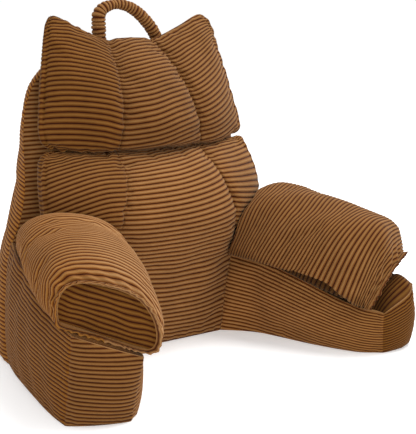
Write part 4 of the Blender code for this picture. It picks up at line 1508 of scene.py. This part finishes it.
def frill(ring, seed):
    """Rings of a gathered frill round the front end, from the cover to the sunk seam."""
    closed = np.concatenate([ring, ring[:1]])
    line = along_line(closed, np.linspace(0, 1, PLEAT_POINTS + 1))[:-1]
    out = outwards_round(line)
    run = lengths(np.concatenate([line, line[:1]]))
    turn = 2 * np.pi * run[:-1] / run[-1]
    angle = round(run[-1] / PLEAT) * turn
    for k, (times, much) in enumerate(PLEAT_SHIFTS):
        angle = angle + much * np.sin(times * turn + seed * (k + 1))
    loose = 0.62
    for times, much, start in ((4, 0.26, 3 * seed), (11, 0.22, seed), (23, 0.15, 0)):
        loose = loose + much * np.sin(times * turn + start)
    pleat = (0.5 + 0.5 * np.cos(angle)) ** 1.4
    under = ease(line[:, 2] - line[:, 2].min(), 0.004, 0.02)[:, None]
    rings = [line]
    for forward, more_forward, outwards, more_outwards in FRILL:
        f = (forward + more_forward * pleat * loose)[:, None]
        o = (outwards + more_outwards * (pleat - 0.35) * loose)[:, None]
        rings.append(line + f * ahead + np.where(o > 0, o * under, o) * out)
    return rings


def end_panel(ring, seed):
    """The flat D-shaped end inside the frill: its points, and where they lie in the cloth."""
    height = ring[:, 2] - arm_top(*on_arm(*ring[:, :2].T))
    low, high = height.min(), height.max()
    side = ring @ np.array([COS, SIN, 0])
    bottom = int(np.argmin(np.abs(side - side.mean()) + 10 * (height > low + 0.02)))
    order = (np.arange(len(ring)) + bottom) % len(ring)
    near, height = ring[order], height[order]
    peak = int(np.argmax(height))
    wales = (high - low) / END_PITCH
    marks = wale_rows(0, wales)
    levels = low + (high - low) * marks / wales
    edges = []
    for half in (np.s_[:peak + 1], np.s_[:peak - 1:-1]):
        points, k = near[half], height[half]
        k = np.maximum.accumulate(k + np.arange(len(k)) * 1e-7)
        edges.append(np.stack([np.interp(levels, k, points[:, i]) for i in range(3)], axis=-1))
    a, b = sorted(edges, key=lambda edge: (edge @ (COS, SIN, 0)).mean())
    share = np.linspace(0, 1, END_COLUMNS)[None, :, None]
    panel = a[:, None] * (1 - share) + b[:, None] * share
    across, up = lengths(panel, axis=1), lengths(panel, axis=0)
    inside = ease(across, 0, 0.02) * ease(across[:, -1:] - across, 0, 0.02)
    domed = inside * bulge(np.linspace(0, 1, len(panel))[:, None])
    cord = cord_height(marks)[:, None] * WALE_HEIGHT * 0.8 * inside
    panel = panel + ahead * (END_PUFF * domed + cord)[..., None]
    panel[..., 2] += 0.0016 * domed * ripple(across, up, 0.06, seed)
    return panel, across, np.repeat(marks[:, None], END_COLUMNS, axis=1)


def outline_like(panel, ring):
    """The panel's outline, started beside the ring's first point and turning as it does."""
    line = np.concatenate([panel[0, :-1], panel[:-1, -1], panel[-1, :0:-1], panel[:0:-1, 0]])
    line = line[np.linalg.norm(line - np.roll(line, 1, axis=0), axis=1) > 1e-6]
    turning = []
    for points in (line, ring):
        spokes = points - points.mean(axis=0)
        turning.append(np.sum(np.cross(spokes, np.roll(spokes, -1, axis=0)) @ ahead))
    if turning[0] * turning[1] < 0:
        line = line[::-1]
    return np.roll(line, -int(np.argmin(np.linalg.norm(line - ring[0], axis=1))), axis=0)


# %% [markdown]
# ### Making a pad
# The tube is filled like the cushions, with its underside and its rear held,
# and then the frill and the end panel are sewn on. The two pads differ only by
# their numbers in the table.

# %% The pads
def make_pad(node):
    pad = PADS[node]
    pad_t, shares = pad_rows(pad), pad_stops(pad)
    wale_count = len(pad_t) - 1
    near_lumbar = 1 - ease(by_row(PAD, pad_t)[:, :1], 0.04, 0.10)
    resting = 1 - ease(by_row(PAD_SECTION, shares * (len(PAD_SECTION) - 1))[:, 1], 0.03, 0.3)
    marks = wale_rows(0, wale_count)
    tube = Panel(pad_grid(pad_t, shares, pad), marks, marks, "t", undulate=0.0014,
                 pucker=pad.gather, seed=pad.seed, fixed=np.maximum(near_lumbar, resting))
    fill(node + "_cover", [tube], pressure=2.5, cap=0.005, slack=0.012)
    weave(tube)
    points, place = tube.fine["points"], np.array([pad.side, 1, 1])
    points[:, -1] = points[:, 0]
    bm = new_cloth()
    add_grid(bm, points * place, tube.fine["u"], tube.fine["v"], pad.nap_and_painted_light)

    edge = points[-1, :-1]
    rings = frill(edge, pad.seed)
    add_strip(bm, edge * place, rings[0] * place, 0.45, (wale_count, wale_count + 0.1))
    closed = np.stack([np.concatenate([r, r[:1]]) for r in rings])
    v = wale_count + 0.1 + np.linspace(0, 2.2, len(rings))[:, None]
    v = np.repeat(v, closed.shape[1], axis=1)
    add_grid(bm, closed * place, lengths(closed, axis=1), v, pad.nap_and_painted_light)

    panel, across, wales = end_panel(rings[-1] - 0.0015 * outwards_round(rings[-1]), pad.seed)
    add_grid(bm, panel * place, across, wales, END_SHADE)
    outline = outline_like(panel, rings[-1])
    add_strip(bm, rings[-1] * place, outline * place, 0.4, (0.3, 0.5))
    bmesh.ops.remove_doubles(bm, verts=bm.verts, dist=MERGE)
    bmesh.ops.edgeloop_fill(bm, edges=[e for e in bm.edges if len(e.link_faces) == 1])
    finish_piece(bm, node + "_cover", "pad_corduroy", node, settle=sunk)


for node in PADS:
    make_pad(node)

# %% [markdown]
# ## The carrying handle
# A strip of the cloth, sewn into a tube and gathered on a cord inside, so that
# each wale stands up as a ring. The tube follows the handle's middle line.

# %% The handle
HANDLE = (              # its middle line, from one end to the other
    (-0.0530, 0.0150, 0.5440), (-0.0545, 0.0130, 0.5600), (-0.0553, 0.0125, 0.5790),
    (-0.0540, 0.0125, 0.5985), (-0.0430, 0.0125, 0.6100), (-0.0235, 0.0130, 0.6158),
    (-0.0055, 0.0130, 0.6160), (0.0135, 0.0130, 0.6108), (0.0318, 0.0130, 0.6006),
    (0.0476, 0.0130, 0.5872), (0.0611, 0.0132, 0.5725), (0.0715, 0.0140, 0.5580),
    (0.0785, 0.0155, 0.5440),
)
HANDLE_RADIUS, HANDLE_RINGS, HANDLE_SIDES = 0.0103, 32, 36
HANDLE_STOUT = ((0, 0.22, 0.42, 0.62, 1), (1.26, 1.26, 0.88, 1.08, 1.20))   # share, times radius


def unit(v):
    return v / np.linalg.norm(v, axis=1, keepdims=True)


def handle_grid():
    """Points of the ringed tube, and where they lie in the cloth."""
    marks = wale_rows(0, HANDLE_RINGS)
    share = marks / HANDLE_RINGS
    centre = along_line(by_row(HANDLE, np.linspace(0, len(HANDLE) - 1, 400)), share)
    forward = unit(np.gradient(centre, axis=0))
    across = unit(np.cross([0, 1, 0], forward))
    turn = np.linspace(0, 2 * np.pi, HANDLE_SIDES + 1)
    pick = np.random.default_rng(41)
    ring = np.floor(np.minimum(marks, HANDLE_RINGS - 0.01)).astype(int)
    size, phase, tilt = (pick.uniform(low, high, HANDLE_RINGS)[ring][:, None]
                         for low, high in ((0.88, 1.10), (0, 6.28), (-0.0020, 0.0020)))
    cord = cord_height(marks)[:, None]
    gather = (1 + 0.09 * cord * np.sin(5 * turn + phase)
              + 0.06 * cord * np.sin(9 * turn + 2 * phase))
    stout = curve(share, *HANDLE_STOUT)[:, None]
    radius = HANDLE_RADIUS * stout * (0.80 + 0.21 * cord * size * gather)
    spokes = (np.cos(turn)[None, :, None] * across[:, None]
              + np.sin(turn)[None, :, None] * np.cross(forward, across)[:, None])
    grid = centre[:, None] + radius[..., None] * spokes
    grid = grid + (tilt * np.cos(turn + phase) * cord)[..., None] * forward[:, None]
    grid[:, -1] = grid[:, 0]
    u = np.repeat((turn * HANDLE_RADIUS)[None], len(marks), axis=0)
    return grid, u, np.repeat(marks[:, None], len(turn), axis=1)


bm = new_cloth()
add_grid(bm, *handle_grid())
bmesh.ops.remove_doubles(bm, verts=bm.verts, dist=2e-6)
bmesh.ops.edgeloop_fill(bm, edges=[e for e in bm.edges if len(e.link_faces) == 1])
finish_piece(bm, "handle_cover", "body_corduroy", "handle")

# %% [markdown]
# ## Floor and light
# A pale floor, a bright even surround, and one large soft lamp above and in
# front, so that the tops of the pads and cushions are lighter than their sides.

# %% Floor and lamps
bpy.ops.mesh.primitive_plane_add(size=14, location=(0, 0, -0.0004))
floor = bpy.context.object
floor.name = "floor"
paper = bpy.data.materials.new("paper")
paper.use_nodes = True
paper_shader = paper.node_tree.nodes["Principled BSDF"]
paper_shader.inputs["Base Color"].default_value = colour(0.80, 0.80, 0.80)
paper_shader.inputs["Emission Color"].default_value = colour(1.0, 1.0, 1.0)
paper_shader.inputs["Emission Strength"].default_value = 0.34
paper_shader.inputs["Roughness"].default_value = 0.9
floor.data.materials.append(paper)

world = bpy.data.worlds.new("surround")
world.use_nodes = True
world.node_tree.nodes["Background"].inputs["Color"].default_value = colour(1.0, 1.0, 1.0)
world.node_tree.nodes["Background"].inputs["Strength"].default_value = 1.02
scene.world = world


def lamp(name, place, aim, size, power):
    data = bpy.data.lights.new(name, "AREA")
    data.shape, data.size, data.energy = "DISK", size, power
    obj = bpy.data.objects.new(name, data)
    scene.collection.objects.link(obj)
    obj.location = place
    obj.rotation_euler = (Vector(aim) - Vector(place)).to_track_quat("-Z", "Y").to_euler()


lamp("key", (0.9, -0.3, 2.6), (0, 0, 0.25), 1.8, 68)
lamp("front", (-0.9, -2.4, 0.5), (0, -0.1, 0.15), 1.0, 14)
scene.view_settings.view_transform = "Standard"
